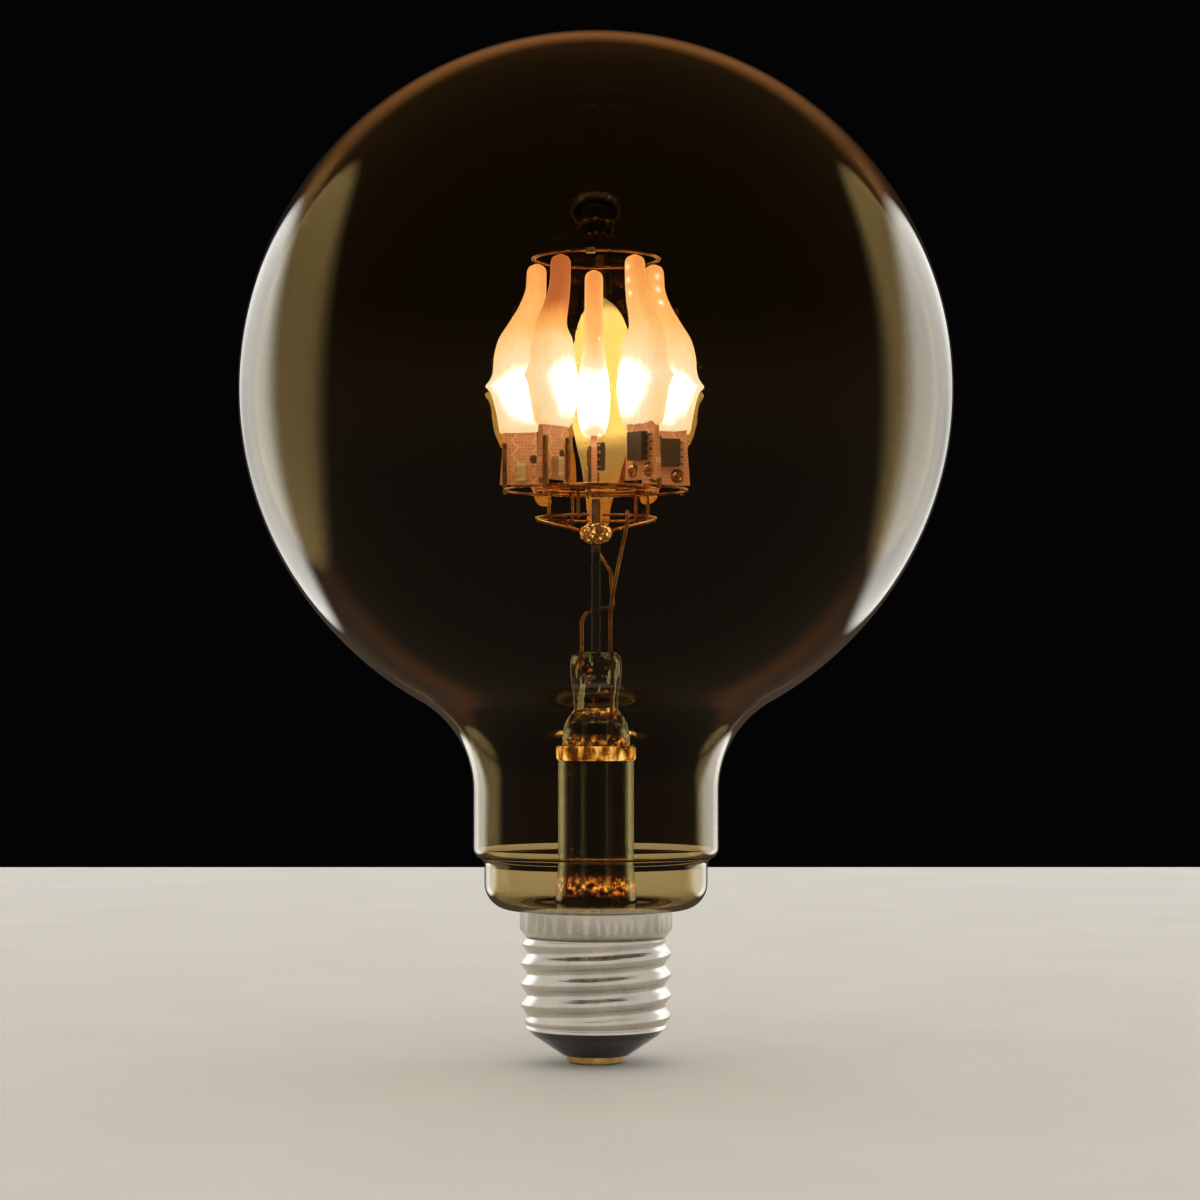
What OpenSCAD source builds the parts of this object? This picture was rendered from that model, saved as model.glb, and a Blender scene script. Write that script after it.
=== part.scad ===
// LED globe lamp: a clear glass globe on a screw cap, with five flame-shaped
// light boards standing in a ring on wire hoops above a pressed glass stem.
// Millimetres, +Z up. The origin is the centre of the contact face under the cap.

/* [Globe] */
// Height of the lamp from the contact face to the crown of the globe
lamp_h = 180; // [176:1:190]
// Outer diameter of the globe
globe_d = 125; // [120:1:135]
// Thickness of the blown glass
glass_t = 0.8; // [0.6:0.1:1.2]
// Outer diameter of the neck
neck_d = 43; // [40:1:46]
// Radius of the sweep from the globe into the neck
sweep_r = 18; // [14:1:22]
// Height of the step where the neck draws in to its foot
step_z = 37.5; // [36:0.5:40]
// Radius of the round edge above that step
step_r = 2; // [1.5:0.1:3]
// Radius of the hollow curve below that step
cove_r = 1.5; // [1:0.1:2.5]
// Outer diameter of the foot under the step
foot_d = 39; // [36:0.5:40]
// Radius of the foot's round lower edge
foot_round_r = 4.6; // [3:0.2:6]
// Outer diameter of the glass mouth inside the cap
mouth_d = 22; // [20:0.2:22.4]
// Height of the mouth's lower edge
mouth_z = 14; // [13:0.5:16]

/* [Stem] */
// Outer diameter of the stem tube
stem_d = 13.3; // [12.5:0.1:14.5]
// Wall of the stem tube
stem_wall = 1; // [0.8:0.1:1.2]
// Height where the stem starts to flare towards the mouth
flare_z = 36; // [30:1:42]
// Height of the centre of the stem's domed top
dome_z = 56.8; // [54:0.2:60]
// Outer diameter of the dome
dome_d = 11.8; // [11.4:0.1:12.4]
// Height of the straight part of the dome, down to its shoulder on the tube
dome_skirt = 1.3; // [0.8:0.1:2]
// Width of the press that holds the lead wires
press_w = 9.1; // [8.4:0.1:10.4]
// Depth of the press
press_depth = 4.4; // [3.8:0.1:5.4]
// Height of the press above the centre of the dome
press_h = 14.9; // [13:0.1:17]
// Radius of the press's round upper edge
press_edge_r = 1.4; // [0.8:0.1:1.8]
// Diameter of the port that joins the bulb to the exhaust tube
port_d = 1.6; // [1:0.1:2]
// Diameter of the gold collar below the dome
collar_d = 14; // [13.8:0.1:15]
// Height of the gold collar
collar_h = 2.6; // [1.5:0.1:4]
// Outer diameter of the exhaust tube
exhaust_d = 5.3; // [4.4:0.1:5.6]
// Wall of the exhaust tube
exhaust_wall = 0.7; // [0.5:0.1:1]
// Height of the exhaust tube's sealed tip
exhaust_tip_z = 19.4; // [19:0.2:24]

/* [Wire frame] */
// Height of the hoops that carry the boards
hoop_z = 100.1; // [97:0.1:104]
// Radius of the outer hoop
outer_hoop_r = 16; // [14.5:0.1:17.5]
// Radius of the inner hoop and of the half hoops below it
inner_hoop_r = 10.5; // [9.8:0.1:11]
// Diameter of the hoop wire
hoop_wire_d = 0.5; // [0.4:0.05:0.6]
// Distance of the two half hoops below the inner hoop
half_hoop_drop = 4.9; // [4:0.1:6]
// Gap between the ends of the half hoops, as an angle
half_hoop_gap = 12; // [8:1:20]
// Directions of the upright posts round the axis, from the front
post_angles = [-55, -18, 65, 135, 205];
// Diameter of the glass rod up the middle
rod_d = 1.5; // [1.2:0.1:1.8]
// Height of the rod's upper end above the half hoops
rod_rise = 3.4; // [2:0.1:4.5]
// Width of the glass bead on the rod
bead_d = 5.8; // [5:0.1:6.6]
// Height of the glass bead
bead_h = 3.8; // [3:0.1:4.6]
// Distance of the bead's centre below the half hoops
bead_drop = 2.7; // [2.6:0.1:3.4]
// Diameter of the two lead wires
lead_d = 0.6; // [0.5:0.05:0.7]
// Distance of the lead wires from the axis where they leave the press
lead_x = 2.5; // [2.2:0.1:2.9]
// Radius of the top hoop, which ties the flame tips together
top_hoop_r = 11; // [10.6:0.1:11.6]
// Diameter of the top hoop's two wires
top_wire_d = 0.36; // [0.3:0.02:0.42]
// Size of the crimp on the top hoop
crimp_w = 1.5; // [1.3:0.1:2]

/* [Flame boards] */
// Number of flame boards in the ring
board_count = 5; // [3:1:6]
// Direction of the first board, from the front
first_board_angle = 38; // [30:1:46]
// Thickness of a board
board_t = 1; // [0.8:0.1:1.2]
// Distance of the boards' lower edges above the hoops
board_lift = 1.2; // [1:0.1:2]
// How far a board reaches inwards past the inner hoop
board_in_reach = 1.7; // [1.4:0.1:2]
// How far a board reaches outwards past the outer hoop
board_out_reach = 1.6; // [1.3:0.1:2]
// Height of a flame from the board's lower edge to the tip
flame_h = 39.3; // [37:0.1:42]
// Height of bare board between its lower edge and the skin
bare_h = 9.1; // [8.5:0.1:10]
// Thickness of the skin at the flame's belly
belly_t = 5.9; // [5.4:0.1:6.6]
// Least cover of the skin over a board's edge
skin_cover = 0.9; // [0.8:0.05:1]
// Clearance between a skin and what it is moulded round
skin_gap = 0.05; // [0.02:0.01:0.08]
// Width of a light chip
led_w = 1; // [0.8:0.1:1.2]
// Length of a light chip
led_l = 1.4; // [1.2:0.1:1.6]
// Thickness of a light chip
led_t = 0.6; // [0.4:0.05:0.65]
// Distance from one light chip to the next along the flame
led_pitch = 2.3; // [2:0.1:3]
// Sideways distance of the two rows of chips in the flame's body
led_row_gap = 3.6; // [3:0.1:4.4]
// Width of a driver chip's body
chip_w = 3.9; // [3.6:0.1:4.2]
// Length of a driver chip's body
chip_l = 4.9; // [4.6:0.1:5.2]
// Thickness of a driver chip's body
chip_t = 1.45; // [1.2:0.05:1.6]
// Distance between neighbouring legs of a driver chip
leg_pitch = 1.27; // [1.2:0.01:1.3]
// Height of a driver chip's centre above the board's lower edge
chip_rise = 5.7; // [5:0.1:6]
// Thickness of the square pins that carry a board
pin_w = 0.6; // [0.5:0.05:0.7]
// Height of the pins' upper ends above the board's lower edge
pin_rise = 7.3; // [6:0.1:8]

/* [Cap] */
// Height of the cap's upper rim
cap_rim_z = 26.5; // [26:0.1:27]
// Diameter over the thread's crests
thread_d = 26.4; // [26.1:0.1:26.4]
// Diameter at the thread's roots
root_d = 24.2; // [24:0.1:24.4]
// Rise of the thread in one turn
thread_pitch = 3.629; // [3.5:0.001:3.7]
// Height over which the thread dies out at each end
thread_fade = 1.6; // [1:0.1:2.5]
// Wall of the cap shell
shell_wall = 0.5; // [0.3:0.05:0.5]
// Diameter of the plain band above the thread
band_d = 26.7; // [26.6:0.1:27.2]
// Height of the plain band
band_h = 3.2; // [2.5:0.1:3.5]
// Height of the shell's lower edge
shell_foot_z = 6; // [5.6:0.1:6.4]
// Diameter of the centre contact
contact_d = 10.4; // [9.5:0.1:11]
// Thickness of the centre contact's raised face
contact_face_t = 0.4; // [0.3:0.1:0.6]
// Thickness of the centre contact's plate
contact_plate_t = 1; // [0.8:0.1:1.2]
// Height of the top of the driver board in the cap
cap_board_z = 11.9; // [11.5:0.1:12.2]
// Thickness of the driver board in the cap
cap_board_t = 1; // [0.8:0.1:1.2]
// Diameter of the capacitor
capacitor_d = 5; // [4:0.1:5.4]
// Height of the capacitor
capacitor_h = 6; // [4.5:0.1:6.4]
// Diameter of the fusible resistor
resistor_d = 2.2; // [1.8:0.1:2.6]
// Length of the fusible resistor's body
resistor_l = 5; // [4:0.1:6]

/* [Hidden] */

// Clearance between glass, metal and fittings that are seated in each other
fit = 0.05;
// Clearance between wires that lie side by side where they are soldered
touch = 0.03;
// Overlap that joins two regions of one section
lap = 0.5;
// How far a cut runs on past the face that it opens
past = 1;
// A wire's round joints are this much thicker than its runs
joint_swell = 1.03;
$fn = 64;

// Colours
clear_glass = [0.86, 0.80, 0.70, 0.30];
stem_glass = [0.80, 0.72, 0.58, 0.45];
brass_wire = [0.78, 0.58, 0.30];
nickel = [0.76, 0.75, 0.72];
bead_gold = [0.85, 0.70, 0.45];
skin_cream = [1.0, 0.86, 0.60];
board_copper = [0.80, 0.50, 0.36];
pin_bronze = [0.45, 0.38, 0.30];
block_tan = [0.80, 0.68, 0.48];
chip_black = [0.14, 0.09, 0.07];
cap_black = [0.08, 0.07, 0.07];
cement_white = [0.82, 0.78, 0.70];
board_green = [0.16, 0.36, 0.22];
sleeve_violet = [0.25, 0.22, 0.45];
resistor_blue = [0.45, 0.60, 0.68];

// Globe sizes that follow from the ones above
globe_r = globe_d / 2;
globe_z = lamp_h - globe_r;
neck_r = neck_d / 2;
// The sweep tightens where the globe comes down close to the step
sweep_room = (pow(globe_z - step_z, 2) - pow(globe_r, 2) + pow(neck_r, 2)) / (2 * (globe_r - neck_r));
sweep_fit_r = min(sweep_r, sweep_room);
sweep_x = neck_r + sweep_fit_r;
sweep_z = globe_z - sqrt(pow(globe_r + sweep_fit_r, 2) - pow(sweep_x, 2));
foot_r = foot_d / 2;
step_x = neck_r - step_r;
cove_x = foot_r + cove_r;
cove_z = step_z - sqrt(pow(step_r + cove_r, 2) - pow(cove_x - step_x, 2));
foot_gap = 0.2;
foot_z = cap_rim_z + foot_gap;
foot_round_z = foot_z + foot_round_r;
mouth_r = mouth_d / 2;
seat_ledge = 1.2;
seat_z = mouth_z + glass_t;

// Stem sizes that follow
stem_r = stem_d / 2;
dome_r = dome_d / 2;
dome_in_r = dome_r - stem_wall;
shoulder_z = dome_z - dome_skirt;
press_top_z = dome_z + press_h;
flare_rim_r = mouth_r - glass_t - 3 * fit;
flare_h = flare_z - seat_z;
flare_out = flare_rim_r - stem_r;
flare_arc_r = (flare_h * flare_h + flare_out * flare_out) / (2 * flare_out);
exhaust_r = exhaust_d / 2;
exhaust_top_z = dome_z + sqrt(pow(dome_in_r, 2) - pow(exhaust_r, 2)) - 2 * fit;
tip_cone_h = 2;
annulus_r = (exhaust_r + stem_r - stem_wall) / 2;
rod_seat = 2;
port_tilt = 48;

// Frame sizes that follow
hoop_wire_r = hoop_wire_d / 2;
side_by_side = hoop_wire_d + touch;
half_hoop_z = hoop_z - half_hoop_drop;
post_r = inner_hoop_r - side_by_side;
rod_top_z = half_hoop_z + rod_rise;
bead_z = half_hoop_z - bead_drop;
bead_wire_angle = 80;
bead_wire_lift = 0.5;
twin_gap = 0.14;
twin_shift = (top_wire_d + twin_gap) / 2;
crimp_angle = -5;
crimp_wall = 0.25;

// Board sizes that follow
face_w = board_t / 2;
board_foot_z = hoop_z + board_lift;
board_in_r = inner_hoop_r - board_in_reach;
board_out_r = outer_hoop_r + board_out_reach;
body_mid_r = (board_in_r + board_out_r) / 2;
tip_z = board_foot_z + flame_h;
skin_foot_z = board_foot_z + bare_h;
skin_h = tip_z - skin_foot_z;
tip_cover = 1.5;
board_top_z = tip_z - tip_cover;
board_steps = 14;
top_hoop_z = tip_z + top_wire_d / 2 + touch;
led_edge = 0.3;
led_top_z = board_top_z - led_edge - led_l / 2;
finger_leds = 4;
body_leds = 8;
chip_z = board_foot_z + chip_rise;
chip_stand = 0.1;
leg_w = 0.42;
leg_t = 0.2;
leg_top = 0.7;
leg_reach = 1.05;
pin_out_r = outer_hoop_r + hoop_wire_r + pin_w / 2 + touch;
pin_in_r = sqrt(pow(inner_hoop_r - hoop_wire_r - touch, 2) - pow(face_w + pin_w, 2)) - pin_w / 2;
pin_foot_z = hoop_z - hoop_wire_d;
pin_top_z = board_foot_z + pin_rise;
block_size = [1.6, 1.2, 3.2];
block_lift = 0.6;
solder_ball_r = 1.5;
solder_rise = 0.8;
solder_lift = 1.6;
solder_places = [-2.3, 2];

// Cap sizes that follow
root_r = root_d / 2;
crest_r = thread_d / 2;
bore_r = root_r - shell_wall;
band_r = band_d / 2;
band_bore_r = band_r - shell_wall;
band_z = cap_rim_z - band_h;
shell_lip = 0.4;
// The shell stands out this far past the thread's roots at its foot and shoulder
shell_curl = 0.15;
thread_foot_z = shell_foot_z + shell_lip;
thread_top_z = band_z - (band_r - root_r);
thread_columns = 36;
rows_a_turn = 8;
thread_rows = round((thread_top_z - thread_foot_z) / thread_pitch * rows_a_turn);
contact_top_z = contact_face_t + contact_plate_t;
contact_face_r = contact_d / 2 - 1.5;
contact_hole_r = 1;
insulator_ring = 0.6;
insulator_flank = 1.2;
insulator_hub_r = 4;
insulator_hub_z = contact_top_z + 2.4;
plug_top_z = shell_foot_z + 1.6;
plug_wall = 1.5;
cement_drop = 0.4;
cap_board_gap = 0.3;
cap_board_r = bore_r - cap_board_gap;
cap_board_foot_z = cap_board_z - cap_board_t;
rectifier_size = [4.7, 3.8, 2.2];
rectifier_place = [-7.5, 2];
capacitor_place = [-1, 4.9];
tail_r = 0.35;
tail_foot_z = 0.6;
resistor_foot_z = insulator_hub_z + fit;
shell_wire_angle = 150;
shell_wire_r = 8.5;
shell_wire_z = cap_board_z + 0.9;

// Point at a direction round the axis, measured from the front towards the right
function round_axis(r, angle, z) = [r * sin(angle), -r * cos(angle), z];

// Lead wires: each stands on the cap's driver board, runs up inside the stem, through the
// press, and on to its half hoop. The bends above the press are chosen by hand
lead_r = lead_d / 2;
lead_foot_r = 5.8;
lead_bend_z = mouth_z + 4;
lead_spread = 0.4;
press_bend_z = press_top_z - 6;
dome_entry_z = dome_z + 1.2;
lead_ring_r = inner_hoop_r - hoop_wire_r - lead_r - touch;
lead_end_z = half_hoop_z + 0.9;
left_foot_angle = -90;
left_ring_angle = 214;
right_foot_angle = 60;
right_stem_angle = 34;
right_ring_angle = 33;
left_in_stem = [
    round_axis(lead_foot_r, left_foot_angle, cap_board_z + touch),
    round_axis(lead_foot_r, left_foot_angle, lead_bend_z),
    round_axis(annulus_r, left_foot_angle, flare_z)
];
left_in_press = [
    round_axis(annulus_r, left_foot_angle, dome_entry_z),
    [-lead_x - lead_spread, 0, press_bend_z],
    [-lead_x, 0, press_top_z]
];
left_in_bulb = [
    [-lead_x, 0, press_top_z + 5.3],
    [-1.8, 0, press_top_z + 6.8],
    [0.8, 1.9, press_top_z + 7.5],
    [3, 2.6, press_top_z + 8.1],
    [2.6, 5, press_top_z + 14.3],
    [-1.5, 8, half_hoop_z - 2.6],
    round_axis(lead_ring_r, left_ring_angle, half_hoop_z - 0.6),
    round_axis(lead_ring_r, left_ring_angle, lead_end_z)
];
right_in_stem = [
    round_axis(lead_foot_r, right_foot_angle, cap_board_z + touch),
    round_axis(lead_foot_r, right_foot_angle, lead_bend_z),
    round_axis(annulus_r, right_stem_angle, flare_z)
];
right_in_press = [
    round_axis(annulus_r, right_stem_angle, dome_entry_z),
    [lead_x + lead_spread, -0.4, press_bend_z],
    [lead_x, 0, press_top_z]
];
right_in_bulb = [
    [lead_x, 0, press_top_z + 7],
    [3, 0, press_top_z + 10.3],
    [3.2, -0.5, press_top_z + 11.6],
    round_axis(lead_ring_r, right_ring_angle, half_hoop_z - 1.2),
    round_axis(lead_ring_r, right_ring_angle, lead_end_z)
];

// Outline of a flame seen from its side. Each entry is the share of the skin's height
// below the tip, and the share of the board's reach from under the top hoop.
// Outer edge: slim finger, long sweep out, a short spike, and the draw-in to the board
flame_outer = [
    [0, 0.24], [0.08, 0.26], [0.16, 0.29], [0.26, 0.49], [0.36, 0.8], [0.44, 1.05], [0.54, 1.18],
    [0.64, 1.21], [0.685, 1.29], [0.715, 1.45], [0.745, 1.3], [0.8, 1.2], [0.91, 1.08], [1, 1.03]
];
// Inner edge: the finger runs straight down to an abrupt shoulder
flame_inner = [
    [0, 0.82], [0.08, 0.82], [0.25, 0.73], [0.4, 0.41], [0.44, 0.55], [0.47, 1.09], [0.57, 1.36],
    [0.7, 1.59], [0.78, 1.68], [0.91, 1.36], [1, 1.14]
];
// Thickness of the flame, as a share of its belly's
flame_thick = [
    [0, 0.56], [0.35, 0.58], [0.45, 0.64], [0.57, 0.81], [0.73, 1], [0.88, 0.93], [0.95, 0.78],
    [1, 0.54]
];
flame_levels = 34;
section_sides = 24;
// Share of the levels' heights that gathers them at both ends
level_gather = 0.25;
// Below 1, this power makes a section squarer than an ellipse
section_power = 0.82;
tip_round = 1.7;
foot_round = 0.9;
foot_edge = 0.55;
least_close = 0.02;
// The press's levels are this much closer at its top, and its edge draws in by this share
least_step = 0.35;
edge_share = 0.7;

// Slope of a table at entry i, for a smooth curve through its points
function slope(t, i) =
    let (a = max(i - 1, 0), b = min(i + 1, len(t) - 1))
    (t[b][1] - t[a][1]) / (t[b][0] - t[a][0]);

// Smooth value of a table at a share s, with the shares rising from first to last
function smooth(t, s) =
    let (
        i = min(len([for (p = t) if (p[0] <= s) p]) - 1, len(t) - 2),
        h = t[i + 1][0] - t[i][0],
        u = (s - t[i][0]) / h
    )
    (2 * u * u * u - 3 * u * u + 1) * t[i][1] + (u * u * u - 2 * u * u + u) * h * slope(t, i)
    + (3 * u * u - 2 * u * u * u) * t[i + 1][1] + (u * u * u - u * u) * h * slope(t, i + 1);

// The flame's edges and half thickness at a height
function share(z) = (tip_z - z) / skin_h;
function outer_edge(z) = top_hoop_r + (board_out_r - top_hoop_r) * smooth(flame_outer, share(z));
function inner_edge(z) = top_hoop_r - (top_hoop_r - board_in_r) * smooth(flame_inner, share(z));
function half_thick(z) = belly_t / 2 * smooth(flame_thick, share(z));

// Heights of the sections through a flame, closer together at both round ends
function level_z(i) =
    let (s = i / (flame_levels - 1), e = 0.5 - 0.5 * cos(180 * s))
    tip_z - skin_h * ((1 - level_gather) * s + level_gather * e);

// How far a section has closed in at the round tip (0 to 1)
function tip_close(z) =
    z > tip_z - tip_round
    ? sqrt(max(least_close * least_close, 1 - pow((z - tip_z + tip_round) / tip_round, 2))) : 1;

// The same at the foot, where the skin closes on the board
function foot_close(z) =
    z < skin_foot_z + foot_round
    ? foot_edge + (1 - foot_edge) * sqrt(max(0, 1 - pow((skin_foot_z + foot_round - z) / foot_round, 2)))
    : 1;

// Points round a rounded section at a height, from its middle and its half width and depth
function section(mid, half_w, half_t, z) = [
    for (k = [0:section_sides - 1])
        let (a = 360 * k / section_sides)
        [
            mid + half_w * sign(cos(a)) * pow(abs(cos(a)), section_power),
            half_t * sign(sin(a)) * pow(abs(sin(a)), section_power),
            z
        ]
];

// A section of the flame
function flame_section(z) = section(
    (outer_edge(z) + inner_edge(z)) / 2,
    (outer_edge(z) - inner_edge(z)) / 2 * tip_close(z),
    half_thick(z) * tip_close(z) * foot_close(z),
    z
);

// Outline of the press, as shares of its height above the dome's centre and of its width
// and depth. It is pinched where it leaves the dome and swells round the wires above that
press_wide = [[0, 1], [0.25, 0.97], [0.41, 0.88], [0.62, 0.98], [0.8, 1], [1, 0.97]];
press_deep = [[0, 1.35], [0.25, 1.35], [0.41, 1.15], [0.55, 0.92], [0.8, 1], [1, 0.95]];
press_levels = 22;

// How far the press has drawn in at its round upper edge
function press_close(z) =
    let (rise = max(0, z - press_top_z + press_edge_r))
    press_edge_r - sqrt(max(0, press_edge_r * press_edge_r - rise * rise));

// A section of the press at level i, counted down from its top
function press_section(i) =
    let (
        s = i / (press_levels - 1),
        z = press_top_z - press_h * s * (least_step + (1 - least_step) * s)
    )
    section(
        0,
        press_w / 2 * smooth(press_wide, (z - dome_z) / press_h) - edge_share * press_close(z),
        press_depth / 2 * smooth(press_deep, (z - dome_z) / press_h) - edge_share * press_close(z),
        z
    );

// Edges of the board at a height: it follows the flame inside its skin
function board_outer(z) = min(board_out_r, outer_edge(z) - skin_cover);
function board_inner(z) = max(board_in_r, inner_edge(z) + skin_cover);
board_heights = [for (i = [0:board_steps]) skin_foot_z + (board_top_z - skin_foot_z) * i / board_steps];

// Places of one board's light chips as [radius, height]: single file up the finger,
// then two rows down the body
finger_places = [
    for (i = [0:finger_leds - 1])
        let (z = led_top_z - i * led_pitch)
        [(outer_edge(z) + inner_edge(z)) / 2, z]
];
body_places = [
    for (i = [0:body_leds - 1], side = [-0.5, 0.5])
        let (
            z = led_top_z - (finger_leds + i) * led_pitch,
            room = board_outer(z) - board_inner(z) - led_w - led_edge
        )
        if (z > skin_foot_z + led_l)
        [(board_outer(z) + board_inner(z)) / 2 + side * min(led_row_gap, room), z]
];

// Rolled screw thread: a right-handed wave round the shell that dies out at both ends
function fade(z) = max(0, min(1, (z - thread_foot_z) / thread_fade, (thread_top_z - z) / thread_fade));
function wave(z, a) = 0.5 - 0.5 * cos(360 * (z - thread_foot_z) / thread_pitch - a);
function thread_r(z, a) = root_r + (crest_r - root_r) * wave(z, a) * fade(z);

// Turns a piece drawn in the board's own plane (X outward, Y towards the reverse side)
// to its place in the ring: board 1 stands to the right of the front
module at_board(i) {
    rotate([0, 0, first_board_angle - 90 + 360 / board_count * (i - 1)]) children();
}

// A wire along a list of points, with round joints that swell a little past the runs
module wire(points, d) {
    for (i = [0:len(points) - 2]) {
        run = points[i + 1] - points[i];
        length = norm(run);
        translate(points[i])
            rotate([0, acos(run[2] / length), atan2(run[1], run[0])])
                cylinder(d = d, h = length, $fn = 24);
    }
    for (i = [1:len(points) - 2])
        translate(points[i])
            sphere(d = d * joint_swell, $fn = 24);
}

// A hoop of round wire, or a part of one
module hoop(r, d, angle = 360) {
    rotate_extrude(angle = angle, $fn = 96)
        translate([r, 0])
            circle(d = d, $fn = 24);
}

// Half section of the bulb, drawn in from its outside by inset
module bulb_section(inset) {
    intersection() {
        translate([0, globe_z]) circle(r = globe_r - inset, $fn = 180);
        translate([0, globe_z - globe_r]) square([globe_r, globe_d]);
    }
    difference() {
        polygon([[0, sweep_z], [sweep_x, sweep_z], [0, globe_z]]);
        translate([sweep_x, sweep_z]) circle(r = sweep_fit_r + inset, $fn = 120);
    }
    translate([0, step_z]) square([neck_r - inset, sweep_z - step_z + lap]);
    intersection() {
        translate([step_x, step_z]) circle(r = step_r - inset);
        translate([step_x, step_z - step_r]) square(step_r);
    }
    difference() {
        polygon([
            [0, cove_z], [cove_x, cove_z], [step_x, step_z], [step_x - lap, step_z + lap],
            [0, step_z + lap]
        ]);
        translate([cove_x, cove_z]) circle(r = cove_r + inset);
    }
    translate([0, foot_round_z]) square([foot_r - inset, cove_z - foot_round_z + lap]);
    intersection() {
        translate([foot_r - foot_round_r, foot_round_z]) circle(r = foot_round_r - inset);
        translate([foot_r - foot_round_r, foot_z]) square(foot_round_r);
    }
    translate([0, foot_z + inset]) square([foot_r - foot_round_r, foot_round_r - inset + lap]);
    translate([0, mouth_z + inset]) square([mouth_r - inset, foot_z - mouth_z + lap]);
}

module globe_envelope() {
    color(clear_glass)
        rotate_extrude($fn = 180)
            difference() {
                bulb_section(0);
                bulb_section(glass_t);
                translate([0, mouth_z - past])
                    square([mouth_r - glass_t - seat_ledge, glass_t + 2 * past]);
            }
}

// Half section of the stem: flare, tube and dome, drawn in by inset
module stem_section(inset) {
    difference() {
        translate([0, seat_z]) square([flare_rim_r, flare_h]);
        translate([stem_r + flare_arc_r, flare_z]) circle(r = flare_arc_r + inset, $fn = 180);
    }
    translate([0, flare_z - lap]) square([stem_r - inset, shoulder_z - inset - flare_z + lap]);
    translate([0, shoulder_z - inset - lap])
        square([dome_r - inset, dome_skirt + inset + 2 * lap]);
    intersection() {
        translate([0, dome_z]) circle(r = dome_r - inset);
        translate([0, dome_z]) square(dome_r);
    }
}

// Solid form through a list of sections, from the top one down
module loft(sections) {
    last = (len(sections) - 1) * section_sides;
    sides = [
        for (i = [0:len(sections) - 2], k = [0:section_sides - 1])
            let (a = i * section_sides, b = a + section_sides, n = (k + 1) % section_sides)
            each [[a + k, a + n, b + k], [a + n, b + n, b + k]]
    ];
    top = [for (k = [1:section_sides - 2]) [0, k + 1, k]];
    foot = [for (k = [1:section_sides - 2]) [last, last + k, last + k + 1]];
    polyhedron(points = [for (ring = sections) each ring], faces = concat(sides, top, foot));
}

module stem_tube() {
    color(stem_glass)
        difference() {
            union() {
                rotate_extrude($fn = 96) stem_section(0);
                loft([for (i = [0:press_levels - 1]) press_section(i)]);
            }
            rotate_extrude($fn = 96) stem_section(stem_wall);
            wire(concat(left_in_press, [left_in_bulb[0]]), lead_d + 2 * fit);
            wire(concat(right_in_press, [right_in_bulb[0]]), lead_d + 2 * fit);
            translate([0, 0, press_top_z - rod_seat])
                cylinder(d = rod_d + 2 * fit, h = rod_seat + past);
            translate([0, 0, dome_z])
                rotate([port_tilt, 0, 0]) cylinder(d = port_d, h = dome_r + 2 * past);
        }
}

module stem_collar() {
    color("gold")
        translate([0, 0, shoulder_z - collar_h])
            difference() {
                cylinder(d = collar_d, h = collar_h, $fn = 96);
                translate([0, 0, -past]) cylinder(r = stem_r + fit, h = collar_h + 2 * past, $fn = 96);
            }
}

module exhaust_tube() {
    bore_foot_z = exhaust_tip_z + tip_cone_h;
    color(stem_glass)
        difference() {
            union() {
                translate([0, 0, exhaust_tip_z])
                    cylinder(r1 = exhaust_wall, r2 = exhaust_r, h = tip_cone_h);
                translate([0, 0, bore_foot_z])
                    cylinder(r = exhaust_r, h = exhaust_top_z - bore_foot_z);
            }
            translate([0, 0, bore_foot_z])
                cylinder(r = exhaust_r - exhaust_wall, h = exhaust_top_z);
        }
}

module centre_rod() {
    color(stem_glass)
        translate([0, 0, press_top_z - rod_seat + fit])
            cylinder(d = rod_d, h = rod_top_z - press_top_z + rod_seat - fit, $fn = 48);
}

module rod_bead() {
    round_r = bead_h / 2;
    color(bead_gold)
        translate([0, 0, bead_z])
            rotate_extrude($fn = 48)
                difference() {
                    union() {
                        translate([0, -round_r]) square([bead_d / 2 - round_r, bead_h]);
                        intersection() {
                            translate([bead_d / 2 - round_r, 0]) circle(r = round_r, $fn = 48);
                            translate([bead_d / 2 - round_r, -round_r]) square([round_r, bead_h]);
                        }
                    }
                    translate([0, -bead_h]) square([rod_d / 2 + fit, 2 * bead_h]);
                }
}

// Two wires hold the bead under the half hoops, one on each side
module bead_wires() {
    color(brass_wire)
        for (angle = [-bead_wire_angle, bead_wire_angle])
            wire([round_axis(bead_d / 2 + touch, angle, bead_z + bead_wire_lift),
                  round_axis(inner_hoop_r, angle, half_hoop_z - side_by_side)], hoop_wire_d);
}

module lead_wire_left() {
    color(brass_wire)
        wire(concat(left_in_stem, left_in_press, left_in_bulb), lead_d);
}

module lead_wire_right() {
    color(brass_wire)
        wire(concat(right_in_stem, right_in_press, right_in_bulb), lead_d);
}

// Half of the lower hoop: side 1 is the left half, -1 the right
module half_hoop(side) {
    color(brass_wire)
        translate([0, 0, half_hoop_z])
            rotate([0, 0, side * 90 + half_hoop_gap / 2])
                hoop(inner_hoop_r, hoop_wire_d, 180 - half_hoop_gap);
}

// Posts stand inside the half hoops and reach up inside the inner hoop
module hoop_posts() {
    color(brass_wire)
        for (angle = post_angles)
            translate(round_axis(post_r, angle, half_hoop_z - hoop_wire_d))
                cylinder(d = hoop_wire_d, h = half_hoop_drop + 2 * hoop_wire_d, $fn = 24);
}

// The inner hoop has two turns, one lying on the other
module inner_hoop() {
    color(brass_wire)
        for (turn = [-0.5, 0.5])
            translate([0, 0, hoop_z + turn * side_by_side])
                hoop(inner_hoop_r, hoop_wire_d);
}

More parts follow.
